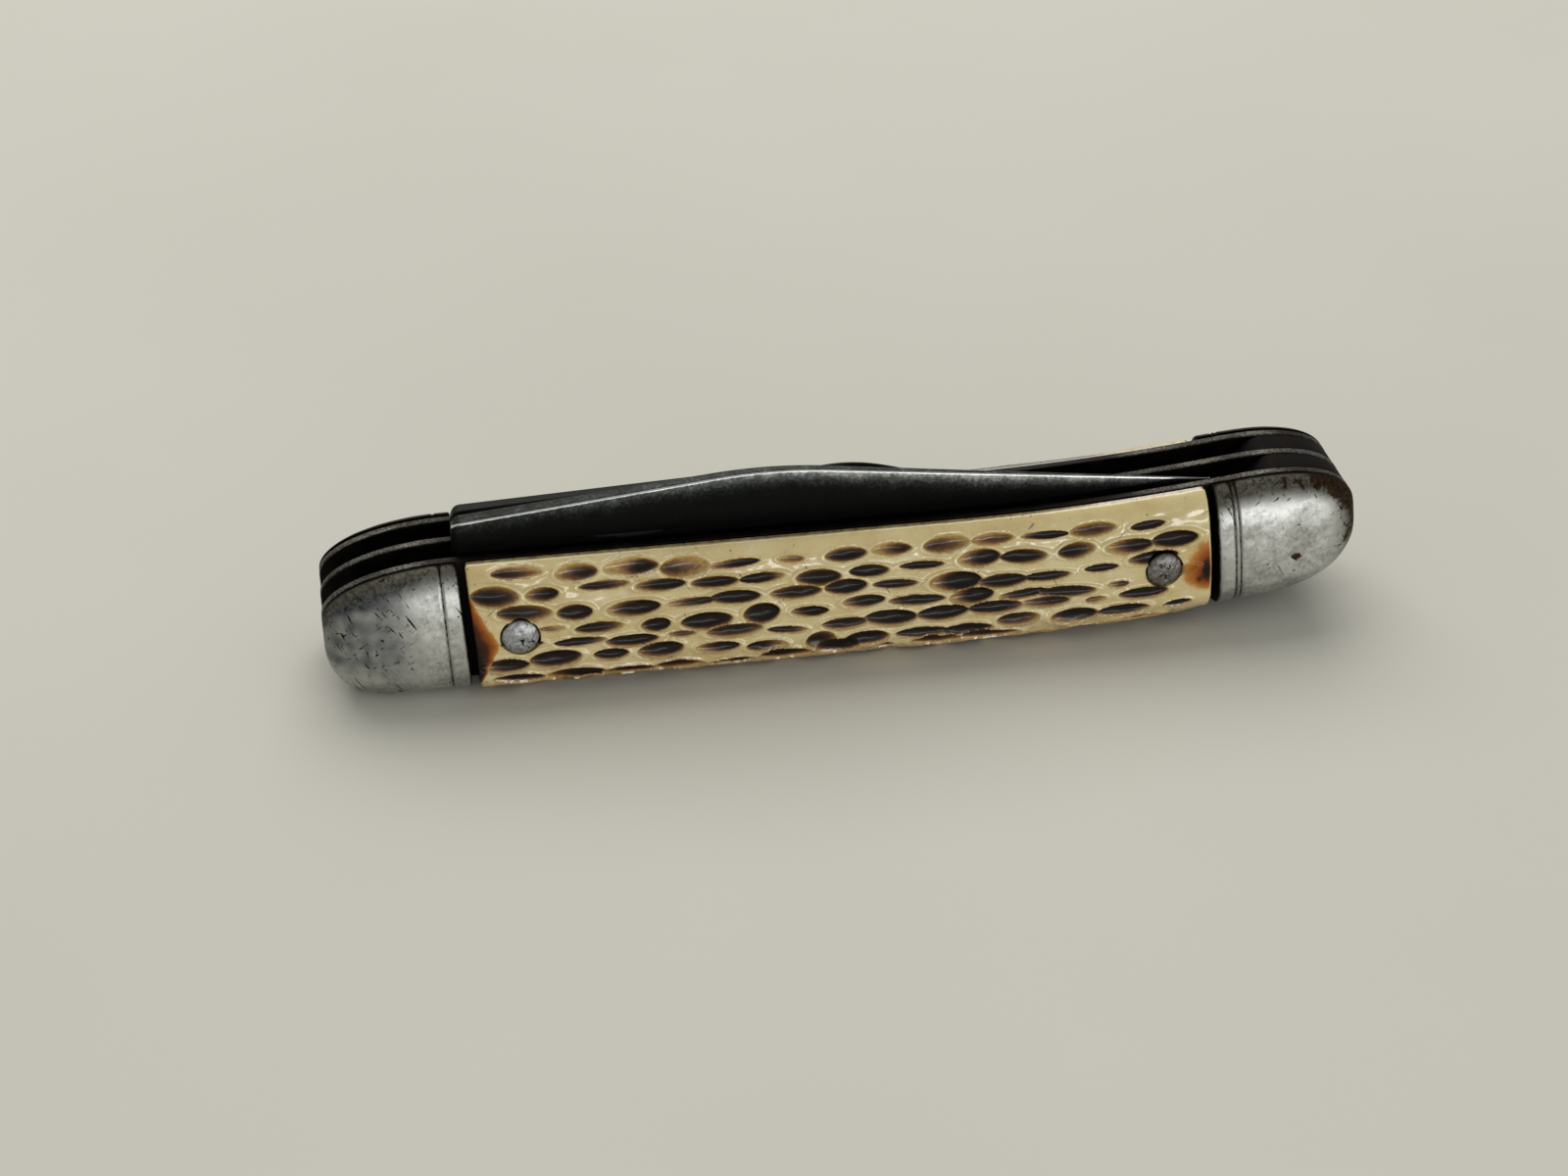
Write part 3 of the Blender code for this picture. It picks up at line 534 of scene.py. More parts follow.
def carbon_blade_steel():
    """Forged carbon steel, hand-satin and long since patinated: oily black low on the faces, mottled grey
    towards the spine where a painted reflection lies on the face, blue-grey on top of the spine, and a
    silver line along its corner that is partly rubbed wear and partly a painted highlight, with fine
    lengthwise lines."""
    material, node, place = new_material("carbon_blade_steel")
    # worn carries rubbed wear, a painted highlight along the spine's corner and a painted reflection on
    # the face below it
    worn = node("Attribute", attribute_name="worn")
    # clouds 2.4 mm and mottling 0.28 mm wide; the satin lines, finer in steel, are drawn 0.11 mm apart
    cloud = node("TexNoise", {"Vector": place, "Scale": 420, "Detail": 8, "Roughness": 0.75})
    fine = node("TexNoise", {"Vector": place, "Scale": 3600, "Detail": 4, "Roughness": 0.65})
    drawn = node("Mapping", {"Vector": place, "Scale": (0.05, 1, 1)})
    lines = node("TexNoise", {"Vector": drawn, "Scale": 9000, "Detail": 2})
    broad = node("Math", (cloud, 0.5, worn), operation="MULTIPLY_ADD")
    mottled = node("Math", (fine, 0.45, broad), operation="MULTIPLY_ADD")
    level = node("MapRange", (mottled, 0.42, 1.42))
    relief = node("Math", (lines, fine), operation="ADD")
    node("OutputMaterial", {"Surface": node("BsdfPrincipled", {
        "Base Color": node("ValToRGB", (level,), [
            (0.0, "020202"), (0.14, "080807"), (0.28, "191A18"),
            (0.42, "343736"), (0.6, "676B6C"), (0.82, "DCDEDC")]),
        "Roughness": node("MapRange", (level, 0, 1, 0.5, 0.26)),
        "Metallic": node("MapRange", (level, 0, 0.4, 0.3, 1)),
        "Normal": node("Bump", {"Height": relief, "Strength": 0.25, "Distance": 0.02 * MM}),
        "Specular IOR Level": 0.2,
    })})
    return material


BLADE_STEEL = carbon_blade_steel()


def add_blade(name, side, point, nick, rub, shoulder, edge, belly, thickness, **spine_line):
    """A blade on its pivot: tang and wedge made one, the nick cut, then how light each place is made:
    rubbed wear with a painted highlight along the spine's corner, rubbing on top of the spine, a painted
    reflection on the face below it, and rubbing at the heel and along the honed edge."""
    station = BUTT_END - point[0]
    tip = (bent(station, slot_edge(station) - point[1], 0) - np.array(PIVOT))[[0, 2]]
    tang = finished_mesh("tang", *plate(tang_outline(), [ring(0, 0, TANG_BORE)], TANG, 0, TANG_ROUND))
    wedge = finished_mesh("wedge", *ground_blade(tip, shoulder, edge, belly, thickness, **spine_line))
    at_nick = half_thickness(thickness, (nick[0] - shoulder) / (tip[0] - shoulder))
    disc = finished_mesh("disc", *nick_disc(*nick, at_nick, side))
    mesh = carve(carve(tang, wedge, "UNION"), disc, "DIFFERENCE")
    mesh.name = name + "_forged"
    spots = places(mesh)
    x, across, z = spots.T
    # one distance runs over the spine's corner: in from it on top, down from it on the face
    share = np.clip((x - shoulder) / (tip[0] - shoulder), 0, 1)
    drop = np.maximum(spine_height(x, tip, shoulder, **spine_line) - z, 0)
    inward = half_thickness(thickness, share) - across * side
    # a painted highlight along the spine's rounded corner, partly rubbed wear: a near-white line where
    # the corner catches the light
    corner = bell(inward - drop, 0.17 * MM)
    on_top = rub * (0.8 + 0.4 * share) * ramp(inward - drop, 0, 0.25 * MM) * ramp(drop, 0.3 * MM, 0)
    # a painted reflection: a grey band on the face below the spine's corner, fading to black within about
    # two millimetres
    painted_face_sheen = 0.72 * bell(drop, 1.45 * MM, 1.5) * (0.55 + 0.9 * np.minimum(share, 0.5))
    painted_face_sheen = painted_face_sheen * ramp(inward, 0.3 * MM, 0.05 * MM)
    heel = 0.6 * ramp(np.abs(x - shoulder), 0.35 * MM, 0) * ramp(drop, 2.2 * MM, 0)
    ground = (x > shoulder - 0.1 * MM) & (z > TANG_HALF)
    honed = 0.75 * bell(z - cutting_edge(x, tip, edge, belly), 0.4 * MM) * (x > TANG_FRONT + 0.2 * MM)
    # rubbed wear at the heel and on the spine, with the painted highlight along its corner and the
    # painted reflection on the face
    wear_and_painted_sheen = ground * np.maximum.reduce([corner, on_top, painted_face_sheen, heel])
    set_values(mesh, worn=np.maximum(wear_and_painted_sheen, honed))
    mesh.shade_smooth()
    mesh.set_sharp_from_angle(angle=math.radians(35))
    moved = spots + np.array([PIVOT.x, side * SLOT_CENTRE, PIVOT.z])
    mesh.vertices.foreach_set("co", moved.astype(np.float32).ravel())
    add_piece(mesh, name, BLADE_STEEL, name)


add_blade(
    "main_blade", -1, point=(12.1 * MM, 0.75 * MM), nick=(19.0 * MM, 6.05 * MM, 7.0 * MM), rub=0.33,
    shoulder=MAIN_SHOULDER, edge=-1.6 * MM, belly=30.6 * MM, thickness=1.5 * MM,
    spine=8.3 * MM, peak=(37.5 * MM, 11.02 * MM), peak_round=40 * MM, clip_bulge=0.0,
)
add_blade(
    "pen_blade", 1, point=(31.65 * MM, 1.25 * MM), nick=(17.0 * MM, 5.9 * MM, 8.0 * MM), rub=0.16,
    shoulder=PEN_SHOULDER, edge=-0.6 * MM, belly=20.6 * MM, thickness=1.4 * MM,
    spine=7.42 * MM, peak=(14.2 * MM, 9.0 * MM), peak_round=25 * MM, clip_bulge=1.1 * MM,
)

# ---------------------------------------------------------------- bolsters
# Four hollow bolsters cap the handle's ends. They are pressed from thin steel, nickel plated, with a
# bullet end and rolled grooves by the cover; pocket wear left them satin, scratched and stained.
BASE = HALF_STACK + 0.25 * MM
PIVOT_BOLSTER, BUTT_BOLSTER, REAR_SHORTER = 11.15 * MM, 12.65 * MM, 1.0 * MM
BOLSTER_CAP = 8.2 * MM
BOLSTER_BAND = 2.4 * MM
BOLSTER_RISE = 2.87 * MM
BOLSTER_ROUND = 0.22 * MM
CREST = 0.225  # the dome's thickest place, as a share of its height above the back
EDGE_POWER, DOME_POWER, CAP_POWER = 1.9, 1.95, 2.1
END_SLANT = -0.055  # how far the pivot bolsters' inner edges lean, per height
# each groove: its distance from the inner edge, half its width, and its depth
PIVOT_GROOVES = ((1.45 * MM, 0.26 * MM, 0.1 * MM),)
BUTT_GROOVES = ((1.48 * MM, 0.24 * MM, 0.09 * MM), (1.9 * MM, 0.22 * MM, 0.09 * MM))


def domed_section(low, high, rise, turn):
    """A lopsided superellipse, thickest at the crest: above and below it the height goes towards its end
    as |cos a|^(2/edge power), and the lift is rise x sin^(2/dome power) a."""
    crest = low + CREST * (high - low)
    reach = np.where(np.cos(turn) > 0, high - crest, low - crest)
    height = crest + reach * np.abs(np.cos(turn)) ** (2 / EDGE_POWER)
    return height, rise * np.abs(np.sin(turn)) ** (2 / DOME_POWER)


def even_turns(rise, count):
    """Angles at which the points of a full-height section lie at even distances along it."""
    fine = np.linspace(0, np.pi, 4000)
    height, lift = domed_section(0, HEIGHT, rise, fine)
    along = np.concatenate([[0], np.cumsum(np.hypot(np.diff(height), np.diff(lift)))])
    return np.interp(np.linspace(0, along[-1], count), along, fine)


def quarter_round(from_edge, radius):
    """How far a quarter round draws a surface in beside its edge: r - sqrt(r r - (r - distance)^2)."""
    return radius - np.sqrt(np.maximum(radius**2 - np.maximum(radius - from_edge, 0) ** 2, 0))


def pressed_bolster(at_pivot, length, grooves, side, seed):
    """A bolster: domed sections along the handle, whose rise falls as (1 - s^power)^(1/power) over the
    bullet end, drawn in by a quarter round at the inner edge and by the grooves, each
    depth x (1 + cos) / 2. Slow lumps and small dents are added to the dome."""
    end, inward = (PIVOT_END, 1) if at_pivot else (BUTT_END, -1)
    inner = length - BOLSTER_ROUND * (1 - np.cos(np.linspace(0, np.pi / 2, 7)))
    band = np.linspace(length - BOLSTER_ROUND, length - BOLSTER_BAND, 64)[1:]
    body = np.linspace(length - BOLSTER_BAND, BOLSTER_CAP, 16)[1:]
    cap = BOLSTER_CAP * (1 - np.sin(np.linspace(0, 0.494 * np.pi, 72)))[1:]
    from_end = np.concatenate([inner, band, body, cap])[:, None]
    station = end + inward * from_end
    inset = length - from_end
    drawn_in = quarter_round(inset, BOLSTER_ROUND)
    for at, half_width, depth in grooves:
        near = np.clip(np.abs(inset - at) / half_width, 0, 1)
        drawn_in = drawn_in + depth * (0.5 + 0.5 * np.cos(np.pi * near))
    past = np.maximum(0, 1 - from_end / BOLSTER_CAP)
    rise = BOLSTER_RISE * (1 - past**CAP_POWER) ** (1 / CAP_POWER)
    low, high = back_edge(station) + drawn_in, slot_edge(station) - drawn_in
    height, lift = domed_section(low, high, rise - drawn_in, even_turns(BOLSTER_RISE, 113)[None])
    dents = lumps(from_end, height, 3.5 * MM, seed) * 0.02 * MM
    dents = dents + lumps(from_end, height, 1.2 * MM, seed + 1) * 0.007 * MM
    lift = lift + dents * np.clip(lift / (0.6 * MM), 0, 1)
    if at_pivot:
        station = station + END_SLANT * (height - HEIGHT / 2) * (from_end / length) ** 2
    points = bent(station, height, side * (BASE + lift))
    return points.reshape(-1, 3), closed_tube(*height.shape)


def scratches(node, place, turn, scale, keep, stretch=0.035):
    """Thin straight scratches in the xz plane: noise stretched about thirty times along one direction, of
    which only the highest crests are kept. Gives 1 on a scratch and 0 beside it."""
    turned = node("Mapping", {"Vector": place, "Rotation": (0, turn, 0)})
    along = node("Mapping", {"Vector": turned, "Scale": (stretch, 0.4, 1)})
    crest = node("TexNoise", {"Vector": along, "Scale": scale, "Detail": 1})
    return node("MapRange", (crest, keep, keep + 0.04))


def worn_nickel_plate():
    """Thin nickel plate over pressed steel: satin silver grey with scratches every way and black pits, an
    olive tarnish film and brown dirt by the edges and in the grooves, rubbed through to brown at the
    tip."""
    material, node, place = new_material("worn_nickel_plate")
    grime, tarnish, rust = [
        node("Attribute", attribute_name=name) for name in ("grime", "tarnish", "rust")
    ]
    # clouds 2.6 mm wide, grain 0.38 mm, patches 1.1 mm, pits 0.67 mm apart; the scratches, finer in
    # metal, are drawn from noise 0.19 to 0.29 mm wide so that they show
    cloud = node("TexNoise", {"Vector": place, "Scale": 380, "Detail": 8, "Roughness": 0.7})
    fine = node("TexNoise", {"Vector": place, "Scale": 2600, "Detail": 5, "Roughness": 0.7})
    patch = node("TexNoise", {
        "Vector": place, "Scale": 900, "Detail": 6, "Roughness": 0.65, "Distortion": 0.6})
    grainy = node("Mix", {0: 0.5, 2: cloud, 3: fine}, data_type="FLOAT")
    plate_tone = node("ValToRGB", (grainy,), [(0.36, "8B8B86"), (0.5, "B4B5B1"), (0.62, "D0D1CE")])
    # tarnish: strongest by the edges, broken up by the clouds, olive where the plate is thin
    film = node("Math", (cloud, 0.9, tarnish), operation="MULTIPLY_ADD")
    speckled = node("Math", (fine, 0.7, film), operation="MULTIPLY_ADD")
    filmed = node("MapRange", (speckled, 0.95, 1.65))
    olive = node("ValToRGB", (fine,), [(0.35, "3F3D36"), (0.65, "76746A")])
    steel = node("ValToRGB", (fine,), [(0.35, "2F3033"), (0.65, "707277")])
    aged = node("MapRange", (rust, 0, 0.25))
    veil = node("Mix", {0: aged, 6: steel, 7: olive}, data_type="RGBA")
    # brown where the plate is gone: patches inside the tarnish
    bare = node("Math", (patch, 1.6, rust), operation="MULTIPLY_ADD")
    bared = node("MapRange", (bare, 1.38, 1.54))
    brown = node("ValToRGB", (fine,), [(0.35, "1C130D"), (0.65, "4C3A2A")])
    dirt = node("Math", (fine, 0.9, grime), operation="MULTIPLY_ADD")
    dirty = node("MapRange", (dirt, 0.72, 1.15))
    # black pits come in clusters
    cells = node("TexVoronoi", {"Vector": place, "Scale": 1500})
    pit = node("MapRange", (cells, 0.2, 0.12))
    cluster = node("MapRange", (patch, 0.56, 0.62))
    pitted = node("Math", (pit, cluster), operation="MULTIPLY")
    cuts = ((-1.0, 3400, 0.72), (0.35, 4200, 0.73), (-0.3, 5200, 0.7))
    dark_cut, cut, faint_cut = [scratches(node, place, *each) for each in cuts]
    lines = node("Math", (dark_cut, cut), operation="MAXIMUM")
    # short black nicks in the veiled plate
    short = ((-1.0, 5000, 0.67, 0.15), (0.6, 6200, 0.67, 0.15))
    nicks = [scratches(node, place, *each) for each in short]
    nicked = node("Math", nicks, operation="MAXIMUM")
    in_veil = node("MapRange", (filmed, 0.08, 0.3))
    dark_nicks = node("Math", (nicked, in_veil), operation="MULTIPLY")
    spots = node("Math", (pitted, dark_nicks), operation="MAXIMUM")
    marks = node("Math", (spots, dark_cut), operation="MAXIMUM")
    colour, black, dark = plate_tone, hex_colour("1A1510"), hex_colour("23201C")
    for amount, over in ((filmed, veil), (bared, brown), (dirty, black), (marks, dark)):
        colour = node("Mix", {0: amount, 6: colour, 7: over}, data_type="RGBA")
    satin = node("MapRange", (cloud, 0.3, 0.7, 0.32, 0.43))
    dull = node("Math", (filmed, dirty), operation="MAXIMUM")
    sunk = node("Math", (lines, pitted), operation="ADD")
    cut_in = node("Math", (faint_cut, 0.3, sunk), operation="MULTIPLY_ADD")
    relief = node("Math", (cut_in, -1.2, fine), operation="MULTIPLY_ADD")
    node("OutputMaterial", {"Surface": node("BsdfPrincipled", {
        "Base Color": colour,
        "Roughness": node("Math", (dull, 0.28, satin), operation="MULTIPLY_ADD"),
        "Normal": node("Bump", {"Height": relief, "Strength": 0.3, "Distance": 0.02 * MM}),
        "Metallic": 1.0,
    })})
    return material


def bolster_wear(at_pivot, length, grooves, spots):
    """Grime, tarnish and rust at every place of a bolster, from its distance to the liner, to the inner
    edge, to the slots, to the tip and to the grooves: soft humps and ramps added up."""
    station, height = straightened(spots)
    from_end = station - PIVOT_END if at_pivot else BUTT_END - station
    if at_pivot:
        from_end -= END_SLANT * (height - HEIGHT / 2) * np.clip(from_end / length, 0, 1) ** 2
    inset, lift = length - from_end, np.abs(spots[:, 1]) - BASE
    below_slot = slot_edge(station) - height
    grime = np.exp(-lift / (0.25 * MM)) + 0.8 * np.exp(-inset / (0.22 * MM))
    for groove_at, _, _ in grooves:
        grime += 0.44 * bell(inset - groove_at, 0.1 * MM) + 0.2 * bell(inset - groove_at, 0.3 * MM)
    if at_pivot:
        # a dark veil over the upper bullet end, broken by rubbing, and hardly any rust
        veiled = ramp(from_end, 8.6 * MM, 5.1 * MM) * ramp(height, 1.6 * MM, 4.2 * MM)
        film = veiled * (0.56 + 0.14 * lumps(from_end, height, 1.7 * MM, 29))
        film = film + 0.85 * bell(below_slot, 1.1 * MM)
        rust = 0.42 * bell(below_slot, 0.6 * MM)
    else:
        film = 1.15 * bell(below_slot, 1.5 * MM) + 0.8 * bell(from_end, 2.0 * MM)
        film = film + 0.35 * np.exp(-inset / (0.9 * MM))
        slot_rust = 0.6 * bell(below_slot, 1.2 * MM) * np.clip(1.15 - from_end / (11 * MM), 0, 1)
        tip_rust = 0.5 * bell(from_end, 2.4 * MM) * np.clip(height / (4 * MM), 0.4, 1)
        spot = 0.62 * bell(from_end - 6.0 * MM, 0.75 * MM) * bell(height - 4.6 * MM, 0.6 * MM)
        rust = 0.26 + np.maximum(slot_rust + tip_rust, spot)
    return {"rust": np.clip(rust, 0, 1), "grime": np.clip(grime, 0, 1), "tarnish": np.clip(film, 0, 1)}


NICKEL = worn_nickel_plate()
for face, side in (("front", -1), ("rear", 1)):
    for end, length, grooves, seed in (
        ("pivot", PIVOT_BOLSTER, PIVOT_GROOVES, 11),
        ("butt", BUTT_BOLSTER - (side > 0) * REAR_SHORTER, BUTT_GROOVES, 23),
    ):
        name, plan = f"{face}_{end}_bolster", (end == "pivot", length, grooves)
        mesh = finished_mesh(name + "_pressed", *pressed_bolster(*plan, side, seed + side))
        set_values(mesh, **bolster_wear(*plan, places(mesh)))
        add_piece(mesh, name, NICKEL)

# ---------------------------------------------------------------- covers
# Two handle covers of moulded imitation bone fill the space between the bolsters. Their jigging copies
# gouges cut into bone: rows of almond scoops, dyed near-black in the middle and amber at their rims.
COVER_GAP = 0.65 * MM
COVER_START = PIVOT_END + PIVOT_BOLSTER + COVER_GAP
COVER_END = BUTT_END - BUTT_BOLSTER - COVER_GAP
COVER_WALL = 0.28 * MM
COVER_LIFT = BOLSTER_RISE - COVER_WALL
COVER_ROUND = 0.3 * MM
REAR_LOWER = 0.3 * MM
LIP = 0.17 * MM
RIVET_STATIONS = (COVER_START + 3.66 * MM, COVER_END - 4.16 * MM)
RIVET_HEIGHT = 5.8 * MM
SEAT_RADIUS = 1.65 * MM
SEAT_SPREAD = 0.7 * MM
SEAT_FLOOR = 2.1 * MM
GOUGE_STEP, ROW_STEP = 4.35, 1.56  # in millimetres, along a row and between rows


def jig_rows(seed, span):
    """Every gouge of one cover as centre along and around, half length, half width, tilt, depth, dye and
    the end that is dyed darker. Eight rows lie 1.56 mm apart, drift towards the back and wander a little;
    in a row a gouge follows about every 4.35 mm, and each second row is half a step off."""
    rng = np.random.default_rng(seed)
    row, place = np.meshgrid(np.arange(8), np.arange(-1, 15), indexing="ij")
    row, place = row.ravel(), place.ravel()
    count = row.size
    start = 3.9 - 2.2 * (row % 2) + rng.uniform(-0.4, 0.4, 8)[row]
    along = start + GOUGE_STEP * place + rng.normal(0, 0.27, count)
    wander = 0.22 * np.sin(along / 5.5 + rng.uniform(0, 2 * np.pi, 8)[row])
    around = 1.42 + ROW_STEP * row + 0.95 * along / 60 + wander + rng.normal(0, 0.15, count)
    small = rng.random(count) < 0.1
    small_length, usual_length = rng.uniform(0.8, 1.3, count), rng.normal(2.05, 0.34, count)
    length = np.where(small, small_length, np.clip(usual_length, 1.25, 2.7))
    small_width, usual_width = rng.uniform(0.26, 0.36, count), rng.normal(0.66, 0.17, count)
    width = np.where(small, small_width, np.clip(usual_width, 0.36, 0.98))
    tilt = np.radians(rng.normal(-0.8, 2.2, count))
    depth = width * rng.uniform(0.45, 0.62, count)
    pale = small | ((row == 0) & (rng.random(count) < 0.5))
    dye = np.where(pale, rng.uniform(0.22, 0.5, count), rng.uniform(0.55, 1.4, count))
    dark_end = rng.normal(0.35, 0.7, count)
    inside = (along > 1.7) & (along < span / MM - 1.9)
    sizes = (along * MM, around * MM, length * MM, width * MM, tilt, depth * MM, dye, dark_end)
    return np.stack(sizes, -1)[inside]


def moulded_cover(side, seed):
    """A cover: a domed section on upright walls, carried along the handle and drawn in by a round at both
    ends. With p and q the places along and across a gouge in half lengths and half widths, and
    w = (1 - p p)^0.6, its scoop is (w w - q q) / w, and a low lip exp(-((p p + q q - 1.25) / 0.35)^2)
    stands round it. The rivet seats are round pockets."""
    span = COVER_END - COVER_START + (side > 0) * REAR_SHORTER
    top = HEIGHT - (REAR_LOWER if side > 0 else 0.0)
    ends = COVER_ROUND * (1 - np.cos(np.linspace(0, np.pi / 2, 6)))
    middle = np.linspace(COVER_ROUND, span - COVER_ROUND, 570)[1:-1]
    along = np.concatenate([ends, middle, span - ends[::-1]])
    height, lift = domed_section(0, top, COVER_LIFT, even_turns(COVER_LIFT, 148))
    around = np.concatenate([[0], np.cumsum(np.hypot(np.diff(height), np.diff(lift)))])
    u, v = np.meshgrid(along, around, indexing="ij")
    # seats: points near the seat's circle are drawn onto it, so that its wall is clean
    seats = [(s - COVER_START, np.interp(-RIVET_HEIGHT, -height, around)) for s in RIVET_STATIONS]
    for seat_u, seat_v in seats:
        du, dv = u - seat_u, v - seat_v
        far = np.hypot(du, dv) + 1e-9
        off = (far - SEAT_RADIUS) / SEAT_SPREAD
        closer = np.minimum(np.abs(off) ** 2.2, np.abs(off))
        pulled = SEAT_RADIUS + SEAT_SPREAD * np.sign(off) * closer
        u, v = u + du / far * (pulled - far), v + dv / far * (pulled - far)
    seated = np.any([np.hypot(u - seat_u, v - seat_v) < SEAT_RADIUS for seat_u, seat_v in seats], axis=0)
    depth, lip, dye_stain_and_shade = np.zeros_like(u), np.zeros_like(u), np.full_like(u, -1.0)
    for at, row, length, width, tilt, deep, dye, dark_end in jig_rows(seed, span):
        du, dv = u - at, v - row
        p = (du * math.cos(tilt) - dv * math.sin(tilt)) / length
        q = (du * math.sin(tilt) + dv * math.cos(tilt)) / width
        w = np.maximum(1 - p * p, 1e-6) ** 0.6
        scoop = np.where(np.abs(p) < 1, (w * w - q * q) / w, -9)
        depth = np.maximum(depth, deep * np.clip(scoop, 0, 1) ** 0.8)
        rim = np.exp(-(((p * p + q * q - 1.25) / 0.35) ** 2))
        lip = np.maximum(lip, rim * min(1, deep / (0.3 * MM)))
        # painted shade: a gouge's dye grows darker towards its lower side and lighter towards its upper
        # side; the darker end is the dye's own
        dye_tone_and_shade = dye * np.clip(np.exp(p * dark_end) * (1 + 0.35 * q), 0.3, 2.5)
        dye_stain_and_shade = np.maximum(dye_stain_and_shade, np.clip(scoop, -1, 1) * np.where(scoop > 0, dye_tone_and_shade, 1))
    drawn_in = quarter_round(np.minimum(u, span - u), COVER_ROUND)
    z, y = np.interp(v, around, height), np.interp(v, around, lift)
    nz = np.interp(v, around, -np.gradient(lift, around))
    ny = np.interp(v, around, np.gradient(height, around))
    flip = -np.sign(ny[:, 70:71])
    nz, ny = nz * flip, ny * flip
    uneven = lumps(u, v, 7 * MM, seed) * 0.03 * MM + lumps(u, v * 2.0, 2.0 * MM, seed + 3) * 0.026 * MM
    border = np.clip(v / (0.8 * MM), 0, 1)
    sink = depth + drawn_in - (uneven + lip * (depth <= 0) * LIP) * border
    z, y = z + nz * sink, y + ny * sink
    y = np.where(seated, SEAT_FLOOR - COVER_WALL, y)
    y = np.maximum(y, -COVER_WALL + 0.2 * MM)
    wall = np.linspace(0, 1, 5)[None, :-1]
    low_wall = -COVER_WALL + (y[:, :1] + COVER_WALL) * wall
    high_wall = -COVER_WALL + (y[:, -1:] + COVER_WALL) * wall[:, ::-1]
    one = np.ones_like(low_wall)
    u, v, z, dye_stain_and_shade = [np.hstack([g[:, :1] * one, g, g[:, -1:] * one]) for g in (u, v, z, dye_stain_and_shade)]
    slant = END_SLANT * (z - HEIGHT / 2) * np.clip(1 - u / (12 * MM), 0, 1)
    across = BASE + COVER_WALL + np.hstack([low_wall, y, high_wall])
    points = bent(COVER_START + u + slant, z, side * across).reshape(-1, 3)
    return points, closed_tube(*u.shape), dye_stain_and_shade.ravel(), u.ravel(), span - u.ravel(), v.ravel()


def imitation_bone():
    """Moulded celluloid, hand-rubbed dye: ivory with a faint yellow cloud that browns towards the lower
    edge, gouges dyed through amber to near-black with painted shade on their lower sides, scorched
    red-brown by the ends, a soft plastic gloss, fine scratches and pocket dirt."""
    material, node, place = new_material("imitation_bone")
    dye_stain_and_shade, burn, dirt, low_browning = [
        node("Attribute", attribute_name=name) for name in ("dye_stain_and_shade", "burn", "dirt", "low_browning")
    ]
    # clouds 4.8 mm wide, grain 0.38 mm, mottling 1.1 mm, specks 0.9 mm apart, scratches 0.27 mm
    cloud = node("TexNoise", {"Vector": place, "Scale": 210, "Detail": 6, "Roughness": 0.6})
    fine = node("TexNoise", {"Vector": place, "Scale": 2600, "Detail": 4, "Roughness": 0.65})
    mottle = node("TexNoise", {"Vector": place, "Scale": 900, "Detail": 5, "Roughness": 0.6})
    ivory = node("ValToRGB", (cloud,), [(0.3, "CDB578"), (0.5, "DBC78D"), (0.7, "E5D6A4")])
    ragged = node("Math", (fine, 0.3, -0.15), operation="MULTIPLY_ADD")
    # the gouges' dye, with painted shade on their lower sides
    dyed = node("Math", (dye_stain_and_shade, ragged), operation="ADD")
    dye = node("ValToRGB", (dyed,), [
        (0.0, "D6BD7E"), (0.1, "B0832F"), (0.24, "724610"), (0.42, "3A2008"), (0.7, "160D07")])
    in_gouge = node("MapRange", (dyed, -0.06, 0.08))
    # a brown halo where the dye crept over the rim, and a browner tone towards the lower edge
    near = node("Math", (dye_stain_and_shade, low_browning), operation="ADD")
    crept = node("Math", (mottle, 1.5, near), operation="MULTIPLY_ADD")
    halo = node("MapRange", (crept, 0.45, 1.1, 0, 0.75))
    singed = node("Math", (mottle, 0.24, burn), operation="MULTIPLY_ADD")
    scorch = node("ValToRGB", (singed,), [
        (0.2, "D8BC7C"), (0.32, "BE7A2A"), (0.5, "96500F"), (0.74, "4A1C06"), (0.98, "100703")])
    scorched = node("MapRange", (singed, 0.2, 0.3))
    # specks and scratches full of pocket dirt
    cells = node("TexVoronoi", {"Vector": place, "Scale": 1100})
    speck = node("MapRange", (cells, 0.13, 0.08))
    zone = node("MapRange", (mottle, 0.52, 0.6))
    specks = node("Math", (speck, zone), operation="MULTIPLY")
    cuts = [scratches(node, place, *each) for each in ((0.7, 3600, 0.735), (-1.1, 3900, 0.74))]
    lines = node("Math", cuts, operation="MAXIMUM")
    soiled = node("Math", (fine, 0.8, dirt), operation="MULTIPLY_ADD")
    soil = node("MapRange", (soiled, 0.62, 1.1))
    marks = node("Math", (specks, lines), operation="MAXIMUM")
    marked = node("Math", (marks, 0.6, soil), operation="MULTIPLY_ADD", use_clamp=True)
    colour, tan, soot = ivory, hex_colour("A9824A"), hex_colour("2B1D12")
    for amount, over in ((halo, tan), (in_gouge, dye), (scorched, scorch), (marked, soot)):
        colour = node("Mix", {0: amount, 6: colour, 7: over}, data_type="RGBA")
    # the dye and the burns are matt, the ivory keeps a hard gloss
    matt = node("MapRange", (dyed, 0.1, 0.6, 0.8, 0.2))
    polish = node("MapRange", (dyed, 0.1, 0.4, 1, 0.12))
    unburnt = node("MapRange", (burn, 0, 0.3, 1, 0.2))
    scored = node("Math", (lines, -1.5, mottle), operation="MULTIPLY_ADD")
    relief = node("Math", (fine, 0.35, scored), operation="MULTIPLY_ADD")
    node("OutputMaterial", {"Surface": node("BsdfPrincipled", {
        "Base Color": colour,
        "Roughness": node("MapRange", (fine, 0.3, 0.7, 0.2, 0.38)),
        "Specular IOR Level": node("Math", (matt, unburnt), operation="MULTIPLY"),
        "Coat Weight": node("Math", (polish, unburnt), operation="MULTIPLY"),
        "Coat Roughness": 0.09,
        "Normal": node("Bump", {"Height": relief, "Strength": 0.35, "Distance": 0.04 * MM}),
        "IOR": 1.5,
    })})
    return material


